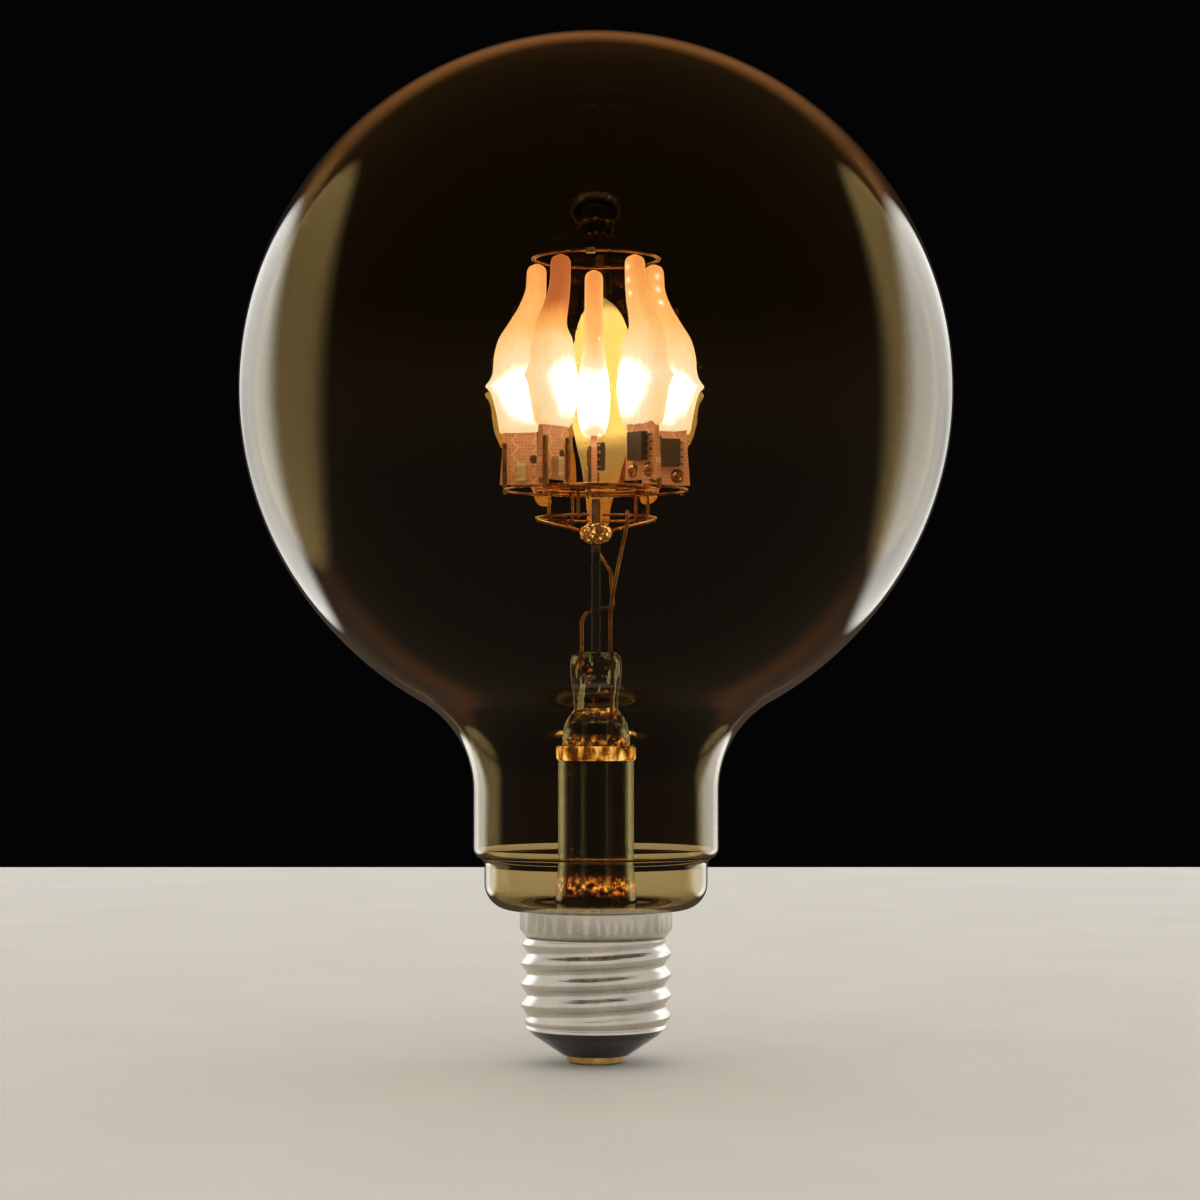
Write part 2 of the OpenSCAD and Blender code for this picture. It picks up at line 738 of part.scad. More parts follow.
module outer_hoop() {
    color(brass_wire)
        translate([0, 0, hoop_z])
            hoop(outer_hoop_r, hoop_wire_d);
}

// The top hoop has two wires side by side, grown by grow where they cut the crimp
module top_hoop_wires(grow) {
    for (side = [-1, 1])
        translate([0, 0, top_hoop_z])
            hoop(top_hoop_r + side * twin_shift, top_wire_d + 2 * grow);
}

module top_hoop() {
    color(brass_wire) top_hoop_wires(0);
}

module top_hoop_crimp() {
    color(nickel)
        difference() {
            translate(round_axis(top_hoop_r, crimp_angle, top_hoop_z))
                rotate([0, 0, crimp_angle])
                    cube([crimp_w, crimp_w, top_wire_d + 2 * crimp_wall], center = true);
            top_hoop_wires(fit);
        }
}

// A short wire stands on each board's top edge and ends under the top hoop
module tip_wires() {
    color(brass_wire)
        for (i = [1:board_count])
            at_board(i)
                translate([top_hoop_r, 0, board_top_z + touch])
                    cylinder(d = top_wire_d, h = tip_cover - touch, $fn = 24);
}

// Flat outline of a board, grown by grow on both edges
module board_outline(grow) {
    polygon(concat(
        [[board_in_r - grow, board_foot_z], [board_out_r + grow, board_foot_z]],
        [for (z = board_heights) [board_outer(z) + grow, z]],
        [for (i = [board_steps:-1:0]) [board_inner(board_heights[i]) - grow, board_heights[i]]]
    ));
}

// Stands a flat outline up in the board's plane, from y0 to y1
module upright(y0, y1) {
    translate([0, y1, 0]) rotate([90, 0, 0]) linear_extrude(height = y1 - y0) children();
}

module flame_board(i) {
    color(board_copper)
        at_board(i) upright(-face_w, face_w) board_outline(0);
}

// The skin is moulded over the board and its light chips, and is open at the foot
module flame_skin(i) {
    color(skin_cream)
        at_board(i)
            difference() {
                loft([for (i = [0:flame_levels - 1]) flame_section(level_z(i))]);
                upright(-face_w - skin_gap - led_t, face_w + skin_gap) board_outline(skin_gap);
                translate([top_hoop_r, 0, board_top_z])
                    cylinder(d = top_wire_d + 2 * fit, h = tip_cover + past, $fn = 24);
            }
}

module light_chips() {
    color("khaki")
        for (i = [1:board_count])
            at_board(i)
                for (p = concat(finger_places, body_places))
                    translate([p[0] - led_w / 2, -face_w - led_t, p[1] - led_l / 2])
                        cube([led_w, led_t, led_l]);
}

module driver_chips() {
    color(chip_black)
        for (i = [1:board_count])
            at_board(i)
                translate([body_mid_r - chip_w / 2, -face_w - chip_stand - chip_t, chip_z - chip_l / 2])
                    cube([chip_w, chip_t, chip_l]);
}

// One bent leg seen from its side: out of the body, down, and a foot on the board
module leg_profile() {
    out = chip_w / 2;
    polygon([
        [out, leg_top], [out + 0.45, leg_top], [out + 0.65, leg_t], [out + leg_reach, leg_t],
        [out + leg_reach, 0], [out + 0.5, 0], [out + 0.3, leg_top - leg_t], [out, leg_top - leg_t]
    ]);
}

module chip_legs() {
    color(nickel)
        for (i = [1:board_count])
            at_board(i)
                for (n = [-1.5:1:1.5], side = [0, 1])
                    translate([body_mid_r, -face_w, chip_z + n * leg_pitch - leg_w / 2])
                        mirror([side, 0, 0])
                            mirror([0, 1, 0])
                                linear_extrude(height = leg_w) leg_profile();
}

// Square pins on the reverse side: one outside the outer hoop, one inside the inner hoop
module board_pins() {
    color(pin_bronze)
        for (i = [1:board_count])
            at_board(i)
                for (r = [pin_in_r, pin_out_r])
                    translate([r - pin_w / 2, face_w, pin_foot_z])
                        cube([pin_w, pin_w, pin_top_z - pin_foot_z]);
}

// A block capacitor on the reverse side, near the board's foot
module chip_capacitors() {
    color(block_tan)
        for (i = [1:board_count])
            at_board(i)
                translate([body_mid_r - block_size[0] / 2, face_w, board_foot_z + block_lift])
                    cube(block_size);
}

// Low domes of solder under the driver chip
module board_solder() {
    color(nickel)
        for (i = [1:board_count], x = solder_places)
            at_board(i)
                intersection() {
                    translate([body_mid_r + x, -face_w + solder_ball_r - solder_rise, board_foot_z + solder_lift])
                        sphere(r = solder_ball_r, $fn = 32);
                    translate([body_mid_r + x - solder_ball_r, -face_w - solder_ball_r, board_foot_z])
                        cube([2 * solder_ball_r, solder_ball_r, solder_lift + solder_ball_r]);
                }
}

// The solid that fills the shell's thread, as rows of points with a face between each four
module threaded_rod() {
    count = thread_columns;
    points = [
        for (i = [0:thread_rows], k = [0:count - 1])
            let (
                a = 360 * k / count,
                z = thread_foot_z + (thread_top_z - thread_foot_z) * i / thread_rows,
                r = thread_r(z, a)
            )
            [r * cos(a), r * sin(a), z]
    ];
    sides = [
        for (i = [0:thread_rows - 1], k = [0:count - 1])
            let (row = i * count, n = (k + 1) % count)
            each [[row + k, row + count + k, row + n], [row + n, row + count + k, row + count + n]]
    ];
    foot = [for (k = [0:count - 1]) k];
    top = [for (k = [count - 1:-1:0]) thread_rows * count + k];
    polyhedron(points = points, faces = concat(sides, [foot, top]));
}

module cap_shell() {
    color(nickel)
        difference() {
            union() {
                threaded_rod();
                rotate_extrude($fn = 96)
                    polygon([
                        [0, thread_top_z - shell_curl], [root_r + shell_curl, thread_top_z - shell_curl],
                        [band_r, band_z], [band_r, cap_rim_z], [0, cap_rim_z]
                    ]);
                translate([0, 0, shell_foot_z])
                    cylinder(r = root_r + shell_curl, h = shell_lip + shell_curl, $fn = 96);
            }
            rotate_extrude($fn = 96)
                polygon([
                    [0, shell_foot_z - past], [bore_r, shell_foot_z - past], [bore_r, thread_top_z],
                    [band_bore_r, band_z], [band_bore_r, cap_rim_z + past], [0, cap_rim_z + past]
                ]);
        }
}

module cap_insulator() {
    plug_r = bore_r - fit;
    color(cap_black)
        rotate_extrude($fn = 96)
            polygon([
                [tail_r + fit, contact_top_z], [contact_d / 2 + insulator_ring, contact_top_z],
                [root_r - insulator_flank, shell_foot_z - insulator_flank], [root_r, shell_foot_z],
                [plug_r, shell_foot_z], [plug_r, plug_top_z], [plug_r - plug_wall, plug_top_z],
                [insulator_hub_r, insulator_hub_z], [tail_r + fit, insulator_hub_z]
            ]);
}

module centre_contact() {
    color("goldenrod")
        difference() {
            union() {
                translate([0, 0, contact_face_t]) cylinder(d = contact_d, h = contact_plate_t);
                cylinder(r = contact_face_r, h = contact_face_t);
            }
            translate([0, 0, -past]) cylinder(r = contact_hole_r, h = contact_top_z + 2 * past, $fn = 32);
        }
}

// Solder fills the contact's hole and holds the resistor's wire
module contact_solder() {
    color(nickel)
        difference() {
            cylinder(r = contact_hole_r - touch, h = contact_top_z - touch, $fn = 32);
            translate([0, 0, tail_foot_z]) cylinder(r = tail_r + touch, h = contact_top_z, $fn = 32);
        }
}

// Cement between the glass mouth and the cap
module cap_cement() {
    color(cement_white)
        rotate_extrude($fn = 96)
            translate([mouth_r + fit, band_z + fit])
                square([band_bore_r - mouth_r - 2 * fit, band_h - fit - cement_drop]);
}

module driver_board() {
    color(board_green)
        translate([0, 0, cap_board_foot_z])
            difference() {
                cylinder(r = cap_board_r, h = cap_board_t, $fn = 96);
                translate([0, 0, -past]) cylinder(r = tail_r + fit, h = cap_board_t + 2 * past, $fn = 32);
            }
}

module rectifier() {
    color(chip_black)
        translate([rectifier_place[0], rectifier_place[1], cap_board_foot_z - rectifier_size[2]])
            cube(rectifier_size);
}

module capacitor() {
    color(sleeve_violet)
        translate([capacitor_place[0], capacitor_place[1], cap_board_z])
            cylinder(d = capacitor_d, h = capacitor_h);
}

// Fusible resistor between the centre contact and the driver board, with its wire
module fuse_resistor() {
    color(resistor_blue) {
        translate([0, 0, tail_foot_z + fit])
            cylinder(r = tail_r, h = cap_board_z - tail_foot_z, $fn = 32);
        translate([0, 0, resistor_foot_z])
            cylinder(d = resistor_d, h = resistor_l, $fn = 32);
    }
}

// Bare wire from the driver board to the shell
module shell_wire() {
    color(nickel)
        wire([
            round_axis(shell_wire_r, shell_wire_angle, cap_board_z + touch),
            round_axis(shell_wire_r, shell_wire_angle, shell_wire_z),
            round_axis(bore_r - touch, shell_wire_angle, shell_wire_z)
        ], 2 * tail_r);
}

globe_envelope();
stem_tube();
stem_collar();
exhaust_tube();
centre_rod();
rod_bead();
bead_wires();
lead_wire_left();
lead_wire_right();
half_hoop(1);  // half_hoop_left
half_hoop(-1);  // half_hoop_right
hoop_posts();
inner_hoop();
outer_hoop();
top_hoop();
top_hoop_crimp();
tip_wires();
flame_board(1);  // flame_board_1
flame_board(2);  // flame_board_2
flame_board(3);  // flame_board_3
flame_board(4);  // flame_board_4
flame_board(5);  // flame_board_5
flame_skin(1);  // flame_skin_1
flame_skin(2);  // flame_skin_2
flame_skin(3);  // flame_skin_3
flame_skin(4);  // flame_skin_4
flame_skin(5);  // flame_skin_5
light_chips();
driver_chips();
chip_legs();
board_pins();
chip_capacitors();
board_solder();
cap_shell();
cap_insulator();
centre_contact();
contact_solder();
cap_cement();
driver_board();
rectifier();
capacitor();
fuse_resistor();
shell_wire();
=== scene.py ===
# %% [markdown]
# # Lit globe lamp with flame-shaped light boards
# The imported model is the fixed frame: it gives the real size and place of every piece. This
# script keeps the pieces whose shape is already right and gives them materials. It models
# the ones that need smooth glass, soft skins or fine detail. Lengths are in metres, and MM
# turns a size in millimetres into metres. The frame is loaded before anything else, because
# every size below is measured against it.

# %% Load the frame
import bpy
import math
from mathutils import Matrix, Vector, noise


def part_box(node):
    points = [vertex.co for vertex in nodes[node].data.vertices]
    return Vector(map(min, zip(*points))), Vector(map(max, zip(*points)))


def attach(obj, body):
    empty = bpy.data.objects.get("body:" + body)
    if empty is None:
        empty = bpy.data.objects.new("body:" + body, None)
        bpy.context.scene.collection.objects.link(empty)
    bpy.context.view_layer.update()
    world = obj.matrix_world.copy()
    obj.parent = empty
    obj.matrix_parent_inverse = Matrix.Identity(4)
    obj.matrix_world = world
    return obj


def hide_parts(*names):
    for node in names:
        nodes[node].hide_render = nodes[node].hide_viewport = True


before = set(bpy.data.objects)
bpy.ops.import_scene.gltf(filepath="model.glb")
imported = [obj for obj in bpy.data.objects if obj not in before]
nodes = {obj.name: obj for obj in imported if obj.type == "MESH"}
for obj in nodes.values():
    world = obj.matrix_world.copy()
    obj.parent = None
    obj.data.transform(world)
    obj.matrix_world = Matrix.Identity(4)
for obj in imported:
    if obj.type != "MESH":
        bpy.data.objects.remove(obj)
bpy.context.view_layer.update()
MM = 0.001
print("pieces in the frame:", len(nodes))

# %% [markdown]
# The camera stands in front of the lamp, a little below the middle of the globe, with a
# long lens. Its place and lens follow from where the photograph's horizon lies and from the
# width of the globe in it. It is tilted up a little instead of shifted, so that other
# views can be taken with the same lens.

# %% Camera
FRAME_PX = 1200
SENSOR = 36
focal_px = 3050
horizon_px = 694
axis_px = 596
camera_z = 64.3 * MM
camera_distance = 535 * MM

camera_data = bpy.data.cameras.new("camera")
camera_data.sensor_width = SENSOR
camera_data.lens = focal_px * SENSOR / FRAME_PX
camera_data.clip_start = 0.01
camera = bpy.data.objects.new("camera", camera_data)
bpy.context.scene.collection.objects.link(camera)
pitch = math.atan((horizon_px - FRAME_PX / 2) / focal_px)
yaw = math.atan((axis_px - FRAME_PX / 2) / focal_px)
camera.location = (0, -camera_distance, camera_z)
camera.rotation_euler = (math.pi / 2 + pitch, 0, yaw)
bpy.context.scene.camera = camera
bpy.context.scene.view_settings.view_transform = "Standard"
print("lens", round(camera_data.lens, 1), "mm, pitch", round(math.degrees(pitch), 2))

# %% [markdown]
# Colours are written as sRGB hex values, as a colour picker shows them, and one function
# turns them into the linear light that Blender's sockets want. Small functions add a node,
# make a material, and link values into its shader.

# %% Material tools
def linear(hex_colour):
    """Linear RGBA of an sRGB hex colour."""
    parts = [int(hex_colour[i:i + 2], 16) / 255 for i in (0, 2, 4)]
    return [p / 12.92 if p <= 0.04045 else ((p + 0.055) / 1.055) ** 2.4 for p in parts] + [1]


def add_node(tree, kind, settings=None, links=None):
    """Adds a node. Settings are properties or input values, links the inputs' sources."""
    node = tree.nodes.new(kind)
    for name, value in (settings or {}).items():
        if isinstance(name, int) or name in node.inputs:
            node.inputs[name].default_value = value
        else:
            setattr(node, name, value)
    for name, source in (links or {}).items():
        tree.links.new(source, node.inputs[name])
    return node


def new_material(name, values):
    """A material with one Principled shader. Values are its sockets' constants."""
    material = bpy.data.materials.new(name)
    material.use_nodes = True
    for socket, value in values.items():
        material.node_tree.nodes["Principled BSDF"].inputs[socket].default_value = value
    return material


def feed(material, links):
    """Links sources into the material's own shader."""
    shader = material.node_tree.nodes["Principled BSDF"]
    for name, source in links.items():
        material.node_tree.links.new(source, shader.inputs[name])

# %% [markdown]
# No real surface is one flat colour. Grain is noise whose blotches have a real size in
# millimetres, and other functions turn it into colours, a range of roughness or relief. The
# last one gives a material to the pieces that keep the shape they have in the frame.

# %% Surface tools
def grain(material, size_mm, detail=3, stretch=(1, 1, 1)):
    """Noise whose blotches are about size_mm wide, as an output from 0 to 1."""
    tree = material.node_tree
    place = add_node(tree, "ShaderNodeTexCoord")
    mapped = add_node(tree, "ShaderNodeMapping", {"Scale": stretch}, {"Vector": place.outputs["Object"]})
    return add_node(tree, "ShaderNodeTexNoise", {"Scale": 1 / (size_mm * MM), "Detail": detail},
                    {"Vector": mapped.outputs[0]}).outputs["Fac"]


def ramp(material, source, stops):
    """A colour ramp over a source, with its stops as (place, hex colour)."""
    node = add_node(material.node_tree, "ShaderNodeValToRGB", links={"Fac": source})
    elements = node.color_ramp.elements
    elements.remove(elements[1])
    elements[0].position, elements[0].color = stops[0][0], linear(stops[0][1])
    for place, colour in stops[1:]:
        elements.new(place).color = linear(colour)
    return node.outputs["Color"]


def spread(material, source, low, high, start=0.3, end=0.7):
    """Stretches a source to run from low to high."""
    return add_node(material.node_tree, "ShaderNodeMapRange",
                    {1: start, 2: end, 3: low, 4: high}, {0: source}).outputs[0]


def relief(material, source, depth_mm):
    """Bump from a source, as deep as depth_mm."""
    return add_node(material.node_tree, "ShaderNodeBump", {"Distance": depth_mm * MM},
                    {"Height": source}).outputs["Normal"]


def coat(material, *names):
    """Gives CAD nodes a new material in their own slots."""
    for name in names:
        for slot in nodes[name].material_slots:
            slot.material = material
    print(material.name, "on", ", ".join(names))

# %% [markdown]
# The stage is a plain pale floor that ends behind the lamp, in a dark room. The glass
# mirrors the dark room and its lights without the floor. Seen through more and more faces of
# glass the floor grows dimmer, so the globe is clear and the stem inside it stays as dark as
# in the photograph. The metal cap mirrors the floor.

# %% Floor
floor_half = 1.2
floor_back = 0.6
bpy.ops.object.select_all(action="DESELECT")
bpy.ops.mesh.primitive_plane_add(size=2 * floor_half, location=(0, floor_back - floor_half, 0))
floor = bpy.context.object
floor.name = "floor"
bpy.ops.object.transform_apply(location=True, rotation=True, scale=True)
floor_material = new_material("matt_painted_floor", {"Roughness": 0.7})
floor_shades = [(0.3, "d5d1c9"), (0.7, "dad6ce")]
feed(floor_material, {"Base Color": ramp(floor_material, grain(floor_material, 40), floor_shades)})
floor_tree = floor_material.node_tree
floor_path = add_node(floor_tree, "ShaderNodeLightPath")
mirrored = add_node(floor_tree, "ShaderNodeMath", {"operation": "MULTIPLY", "use_clamp": True}, {
    0: floor_path.outputs["Glossy Depth"], 1: floor_path.outputs["Is Singular Ray"],
})
clear_faces = 2
hidden_faces = 8
dimmed = add_node(floor_tree, "ShaderNodeMapRange", {1: clear_faces, 2: hidden_faces, 3: 0, 4: 1}, {
    0: floor_path.outputs["Transmission Depth"],
})
hidden_share = add_node(floor_tree, "ShaderNodeMath", {"operation": "MAXIMUM"}, {
    0: mirrored.outputs[0], 1: dimmed.outputs[0],
})
unseen = add_node(floor_tree, "ShaderNodeBsdfTransparent")
floor_mix = add_node(floor_tree, "ShaderNodeMixShader")
floor_tree.links.new(hidden_share.outputs[0], floor_mix.inputs[0])
floor_tree.links.new(floor_tree.nodes["Principled BSDF"].outputs[0], floor_mix.inputs[1])
floor_tree.links.new(unseen.outputs[0], floor_mix.inputs[2])
floor_tree.links.new(floor_mix.outputs[0], floor_tree.nodes["Material Output"].inputs["Surface"])
floor.data.materials.append(floor_material)
print("floor:", 2 * floor_half, "m square, up to", floor_back, "m behind the lamp")

# %% [markdown]
# Two long soft panels stand upright beside the lamp and reach far behind it, just out of
# the picture. Their reflections run down both sides of the glass as crescents. A panel is
# lit round a spot of its face and fades towards its edges, as a lamp behind cloth does. A
# dim, warm one above and behind draws the brown line over the crown.

# %% Soft panels
def soft_panel(name, near, far, low, high, spot, reach, edge, strength, colour):
    """An upright light between two ground points, facing the lamp. Its lit spot, reach and
    soft edge are shares of its face. The strength is the one at the spot, then at the rim."""
    start, end = Vector((*near, 0)), Vector((*far, 0))
    middle = (start + end) / 2 + Vector((0, 0, (low + high) / 2))
    along = (end - start).normalized()
    if along.cross(Vector((0, 0, 1))).dot(middle) < 0:
        along, spot = -along, (1 - spot[0], spot[1])
    data = bpy.data.lights.new(name, "AREA")
    data.shape = "RECTANGLE"
    data.size, data.size_y = (end - start).length, high - low
    data.energy = math.pi * data.size * data.size_y
    data.color = linear(colour)[:3]
    data.use_nodes = True
    tree = data.node_tree
    face = add_node(tree, "ShaderNodeNewGeometry").outputs["Parametric"]
    off = add_node(tree, "ShaderNodeVectorMath", {"operation": "SUBTRACT", 1: (*spot, 0)}, {0: face})
    share = add_node(tree, "ShaderNodeVectorMath", {"operation": "DIVIDE", 1: (*reach, 1)}, {
        0: off.outputs[0],
    })
    away = add_node(tree, "ShaderNodeVectorMath", {"operation": "LENGTH"}, {
        0: share.outputs[0],
    }).outputs["Value"]
    fade = add_node(tree, "ShaderNodeMapRange", {
        "interpolation_type": "SMOOTHSTEP", 1: 1 - edge, 2: 1, 3: 1, 4: 0,
    }, {0: away})
    level = add_node(tree, "ShaderNodeMapRange", {3: strength[0], 4: strength[1]}, {0: away})
    both = add_node(tree, "ShaderNodeMath", {"operation": "MULTIPLY"}, {
        0: fade.outputs[0], 1: level.outputs[0],
    })
    tree.links.new(both.outputs[0], tree.nodes["Emission"].inputs["Strength"])
    light = bpy.data.objects.new(name, data)
    bpy.context.scene.collection.objects.link(light)
    turn = Matrix((along, (0, 0, 1), along.cross(Vector((0, 0, 1))))).transposed().to_4x4()
    light.matrix_world = Matrix.Translation(middle) @ turn
    print(name, round(data.energy, 2), "W")


daylight = "f1f6ff"
warm_light = "ffae69"
soft_panel("soft_panel_left", near=(-0.8, 0.36), far=(-0.8, 2.4), low=-0.53, high=0.87,
           spot=(0.65, 0.5), reach=(0.65, 0.47), edge=0.2, strength=(0.5, 1.5), colour=daylight)
soft_panel("soft_panel_right", near=(0.8, 0.22), far=(0.8, 2.4), low=-0.55, high=0.85,
           spot=(0.59, 0.5), reach=(0.59, 0.48), edge=0.2, strength=(0.5, 1.5), colour=daylight)
soft_panel("warm_panel", near=(-2.4, 2.0), far=(2.4, 2.0), low=0.7, high=2.2,
           spot=(0.5, 0.45), reach=(0.5, 0.5), edge=0.9, strength=(0.26, 0.2), colour=warm_light)

# %% [markdown]
# The world gives plain light to the floor, the cap and every matt surface. The camera sees
# it as a dark room, also through clear glass. What the glass mirrors is a little lighter,
# most of all near the ground, which sets the globe off against the room. The two pairs of
# numbers are heights of the view direction, with the level of light there.

# %% World
world = bpy.data.worlds.new("studio_room")
world.use_nodes = True
bpy.context.scene.world = world
world_tree = world.node_tree
plain = world_tree.nodes["Background"]
plain.inputs["Color"].default_value = linear("f2efe9")
plain.inputs["Strength"].default_value = 0.9
dark = add_node(world_tree, "ShaderNodeBackground", {"Color": linear("050404")})
room_height = add_node(world_tree, "ShaderNodeSeparateXYZ", links={
    0: add_node(world_tree, "ShaderNodeTexCoord").outputs["Generated"],
}).outputs["Z"]
lit_below, dark_above = (-0.1, 1.0), (0.35, 0.06)
room_level = add_node(world_tree, "ShaderNodeMapRange", {
    1: lit_below[0], 2: dark_above[0], 3: lit_below[1], 4: dark_above[1],
}, {0: room_height})
walls = add_node(world_tree, "ShaderNodeBackground", {"Color": linear("463d36")}, {
    1: room_level.outputs[0],
})
world_path = add_node(world_tree, "ShaderNodeLightPath")
glass_mirrors = add_node(world_tree, "ShaderNodeMath", {"operation": "MULTIPLY", "use_clamp": True}, {
    0: world_path.outputs["Glossy Depth"], 1: world_path.outputs["Is Singular Ray"],
})
sharply_seen = add_node(world_tree, "ShaderNodeMath", {"operation": "MAXIMUM"}, {
    0: world_path.outputs["Is Camera Ray"], 1: world_path.outputs["Is Singular Ray"],
})
seen_room = add_node(world_tree, "ShaderNodeMixShader", {}, {
    0: glass_mirrors.outputs[0], 1: dark.outputs[0], 2: walls.outputs[0],
})
whole_world = add_node(world_tree, "ShaderNodeMixShader", {}, {
    0: sharply_seen.outputs[0], 1: plain.outputs[0], 2: seen_room.outputs[0],
})
world_tree.links.new(whole_world.outputs[0], world_tree.nodes["World Output"].inputs["Surface"])
print("world:", world.name, "with", len(world_tree.nodes), "nodes")

# %% [markdown]
# A round piece is drawn as half a profile, in points of radius and height. Two functions
# draw its curves: an arc of a circle, and a smooth curve through given points, which suits
# glass that has sagged or been pressed.

# %% Profile tools
def arc(cx, cz, r, start, end, count):
    """Points of an arc in the profile plane, angles in degrees."""
    steps = [math.radians(start + (end - start) * i / count) for i in range(count + 1)]
    return [(cx + r * math.cos(a), cz + r * math.sin(a)) for a in steps]


def through(points, steps=6):
    """A smooth curve through points of a profile."""
    ends = [points[0]] + list(points) + [points[-1]]
    curve = []
    for a, b, c, d in zip(ends, ends[1:], ends[2:], ends[3:]):
        for k in range(steps):
            t = k / steps
            curve.append(tuple(
                0.5 * (2 * b[n] + (c[n] - a[n]) * t + (2 * a[n] - 5 * b[n] + 4 * c[n] - d[n]) * t * t
                       + (3 * b[n] - a[n] - 3 * c[n] + d[n]) * t ** 3) for n in (0, 1)))
    return curve + [points[-1]]

# %% [markdown]
# Smooth shading bends a long straight run of a profile towards its corners, and glass shows
# that. So each such run gets an extra point close to its corners, which keeps it straight.

# %% Held corners
def corner(a, b, c):
    """Change of direction at the middle one of three points, in degrees."""
    turn = math.atan2(c[1] - b[1], c[0] - b[0]) - math.atan2(b[1] - a[1], b[0] - a[0])
    return abs(math.degrees(math.remainder(turn, 2 * math.pi)))


def held(profile, near=0.12 * MM, bend=4):
    """The profile with a point close to each corner of its long straight runs."""
    points = []
    for k, here in enumerate(profile):
        before, ahead = profile[k - 1], profile[(k + 1) % len(profile)]
        beyond = profile[(k + 2) % len(profile)]
        points.append(here)
        run = math.dist(here, ahead)
        if run < 6 * near or here[0] + ahead[0] == 0:
            continue
        shares = [near / run] if corner(before, here, ahead) > bend else []
        shares += [1 - near / run] if corner(here, ahead, beyond) > bend else []
        points += [tuple(here[n] + (ahead[n] - here[n]) * share for n in (0, 1)) for share in shares]
    return points

# %% [markdown]
# Round pieces are made as they are on a glass lathe: half a profile turned round the axis.
# A point is drawn out into the profile in edit mode and spun, and its seam is merged.

# %% Glass lathe
def spun(name, profile, turns=128, smooth_angle=40):
    """A closed profile of (radius, height) points, spun round the axis."""
    profile = held(profile)
    bpy.ops.object.select_all(action="DESELECT")
    bpy.ops.mesh.primitive_plane_add(size=1, location=(0, 0, 0))
    piece = bpy.context.object
    piece.name = name
    bpy.ops.object.mode_set(mode="EDIT")
    bpy.ops.mesh.select_all(action="SELECT")
    bpy.ops.mesh.merge(type="CENTER")
    bpy.ops.transform.translate(value=(profile[0][0], 0, profile[0][1]))
    for (x0, z0), (x1, z1) in zip(profile, profile[1:] + profile[:1]):
        bpy.ops.mesh.extrude_vertices_move(TRANSFORM_OT_translate={"value": (x1 - x0, 0, z1 - z0)})
    bpy.ops.mesh.select_all(action="SELECT")
    bpy.ops.mesh.remove_doubles(threshold=1e-6)
    bpy.ops.mesh.spin(steps=turns, angle=2 * math.pi, center=(0, 0, 0), axis=(0, 0, 1))
    bpy.ops.mesh.select_all(action="SELECT")
    bpy.ops.mesh.remove_doubles(threshold=1e-6)
    bpy.ops.mesh.dissolve_degenerate(threshold=1e-7)
    bpy.ops.mesh.select_all(action="SELECT")
    bpy.ops.mesh.normals_make_consistent(inside=False)
    bpy.ops.object.mode_set(mode="OBJECT")
    volume = sum(face.center.dot(face.normal) * face.area for face in piece.data.polygons) / 3
    if volume < 0:
        piece.data.flip_normals()
    bpy.ops.object.shade_smooth_by_angle(angle=math.radians(smooth_angle))
    print(name, "holds", round(abs(volume) / MM ** 3), "mm3 of glass or metal")
    return piece

# %% [markdown]
# Other pieces start as a copy of their CAD piece with its doubled vertices merged, which
# modifiers then refine. Each finished piece gets its material and its body, and the CAD
# pieces that it stands for are hidden.

# %% Copying and finishing
def only(piece):
    """Makes a piece the only selected and active one."""
    bpy.ops.object.select_all(action="DESELECT")
    piece.select_set(True)
    bpy.context.view_layer.objects.active = piece


def cad_copy(node_name, name):
    """A separate copy of a CAD piece with its doubled vertices merged."""
    piece = bpy.data.objects.new(name, nodes[node_name].data.copy())
    bpy.context.scene.collection.objects.link(piece)
    only(piece)
    bpy.ops.object.mode_set(mode="EDIT")
    bpy.ops.mesh.select_all(action="SELECT")
    bpy.ops.mesh.remove_doubles(threshold=1e-6)
    bpy.ops.mesh.normals_make_consistent(inside=False)
    bpy.ops.object.mode_set(mode="OBJECT")
    return piece


def apply_modifier(piece, kind, **settings):
    """Adds a modifier to a piece and applies it."""
    modifier = piece.modifiers.new(kind.lower(), kind)
    for name, value in settings.items():
        setattr(modifier, name, value)
    only(piece)
    bpy.ops.object.modifier_apply(modifier=modifier.name)


def hand_in(piece, material, slot, *replaced):
    """Finishes a piece: its material, its body and the CAD pieces it stands for. The slot is not used."""
    piece.data.materials.clear()
    piece.data.materials.append(material)
    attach(piece, "root")
    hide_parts(*replaced)
    print(piece.name, "stands for", ", ".join(replaced), "with", len(piece.data.polygons), "faces")

# %% [markdown]
# Clear glass lets light pass through it. A Principled shader with full transmission gives
# the sight of glass. For rays from lamps a Transparent shader stands in, so that what is
# inside is lit without the noise of caustics. The globe is tinted a light gold, and the
# very soft unevenness of blown glass makes its reflections waver. The stem is a clear lead
# glass.

# %% Glass
def glass_material(name, colour, ior, lamp_colour, wave_mm, wave_depth):
    """Clear glass that also lets lamps shine through."""
    material = new_material(name, {
        "Base Color": linear(colour), "Roughness": 0.0, "IOR": ior, "Transmission Weight": 1.0,
    })
    feed(material, {"Normal": relief(material, grain(material, wave_mm, 1), wave_depth)})
    tree = material.node_tree
    light_path = add_node(tree, "ShaderNodeLightPath")
    clear = add_node(tree, "ShaderNodeBsdfTransparent", {"Color": linear(lamp_colour)})
    both = add_node(tree, "ShaderNodeMixShader")
    tree.links.new(light_path.outputs["Is Shadow Ray"], both.inputs[0])
    tree.links.new(tree.nodes["Principled BSDF"].outputs[0], both.inputs[1])
    tree.links.new(clear.outputs[0], both.inputs[2])
    tree.links.new(both.outputs[0], tree.nodes["Material Output"].inputs["Surface"])
    print(name, "with an IOR of", ior)
    return material


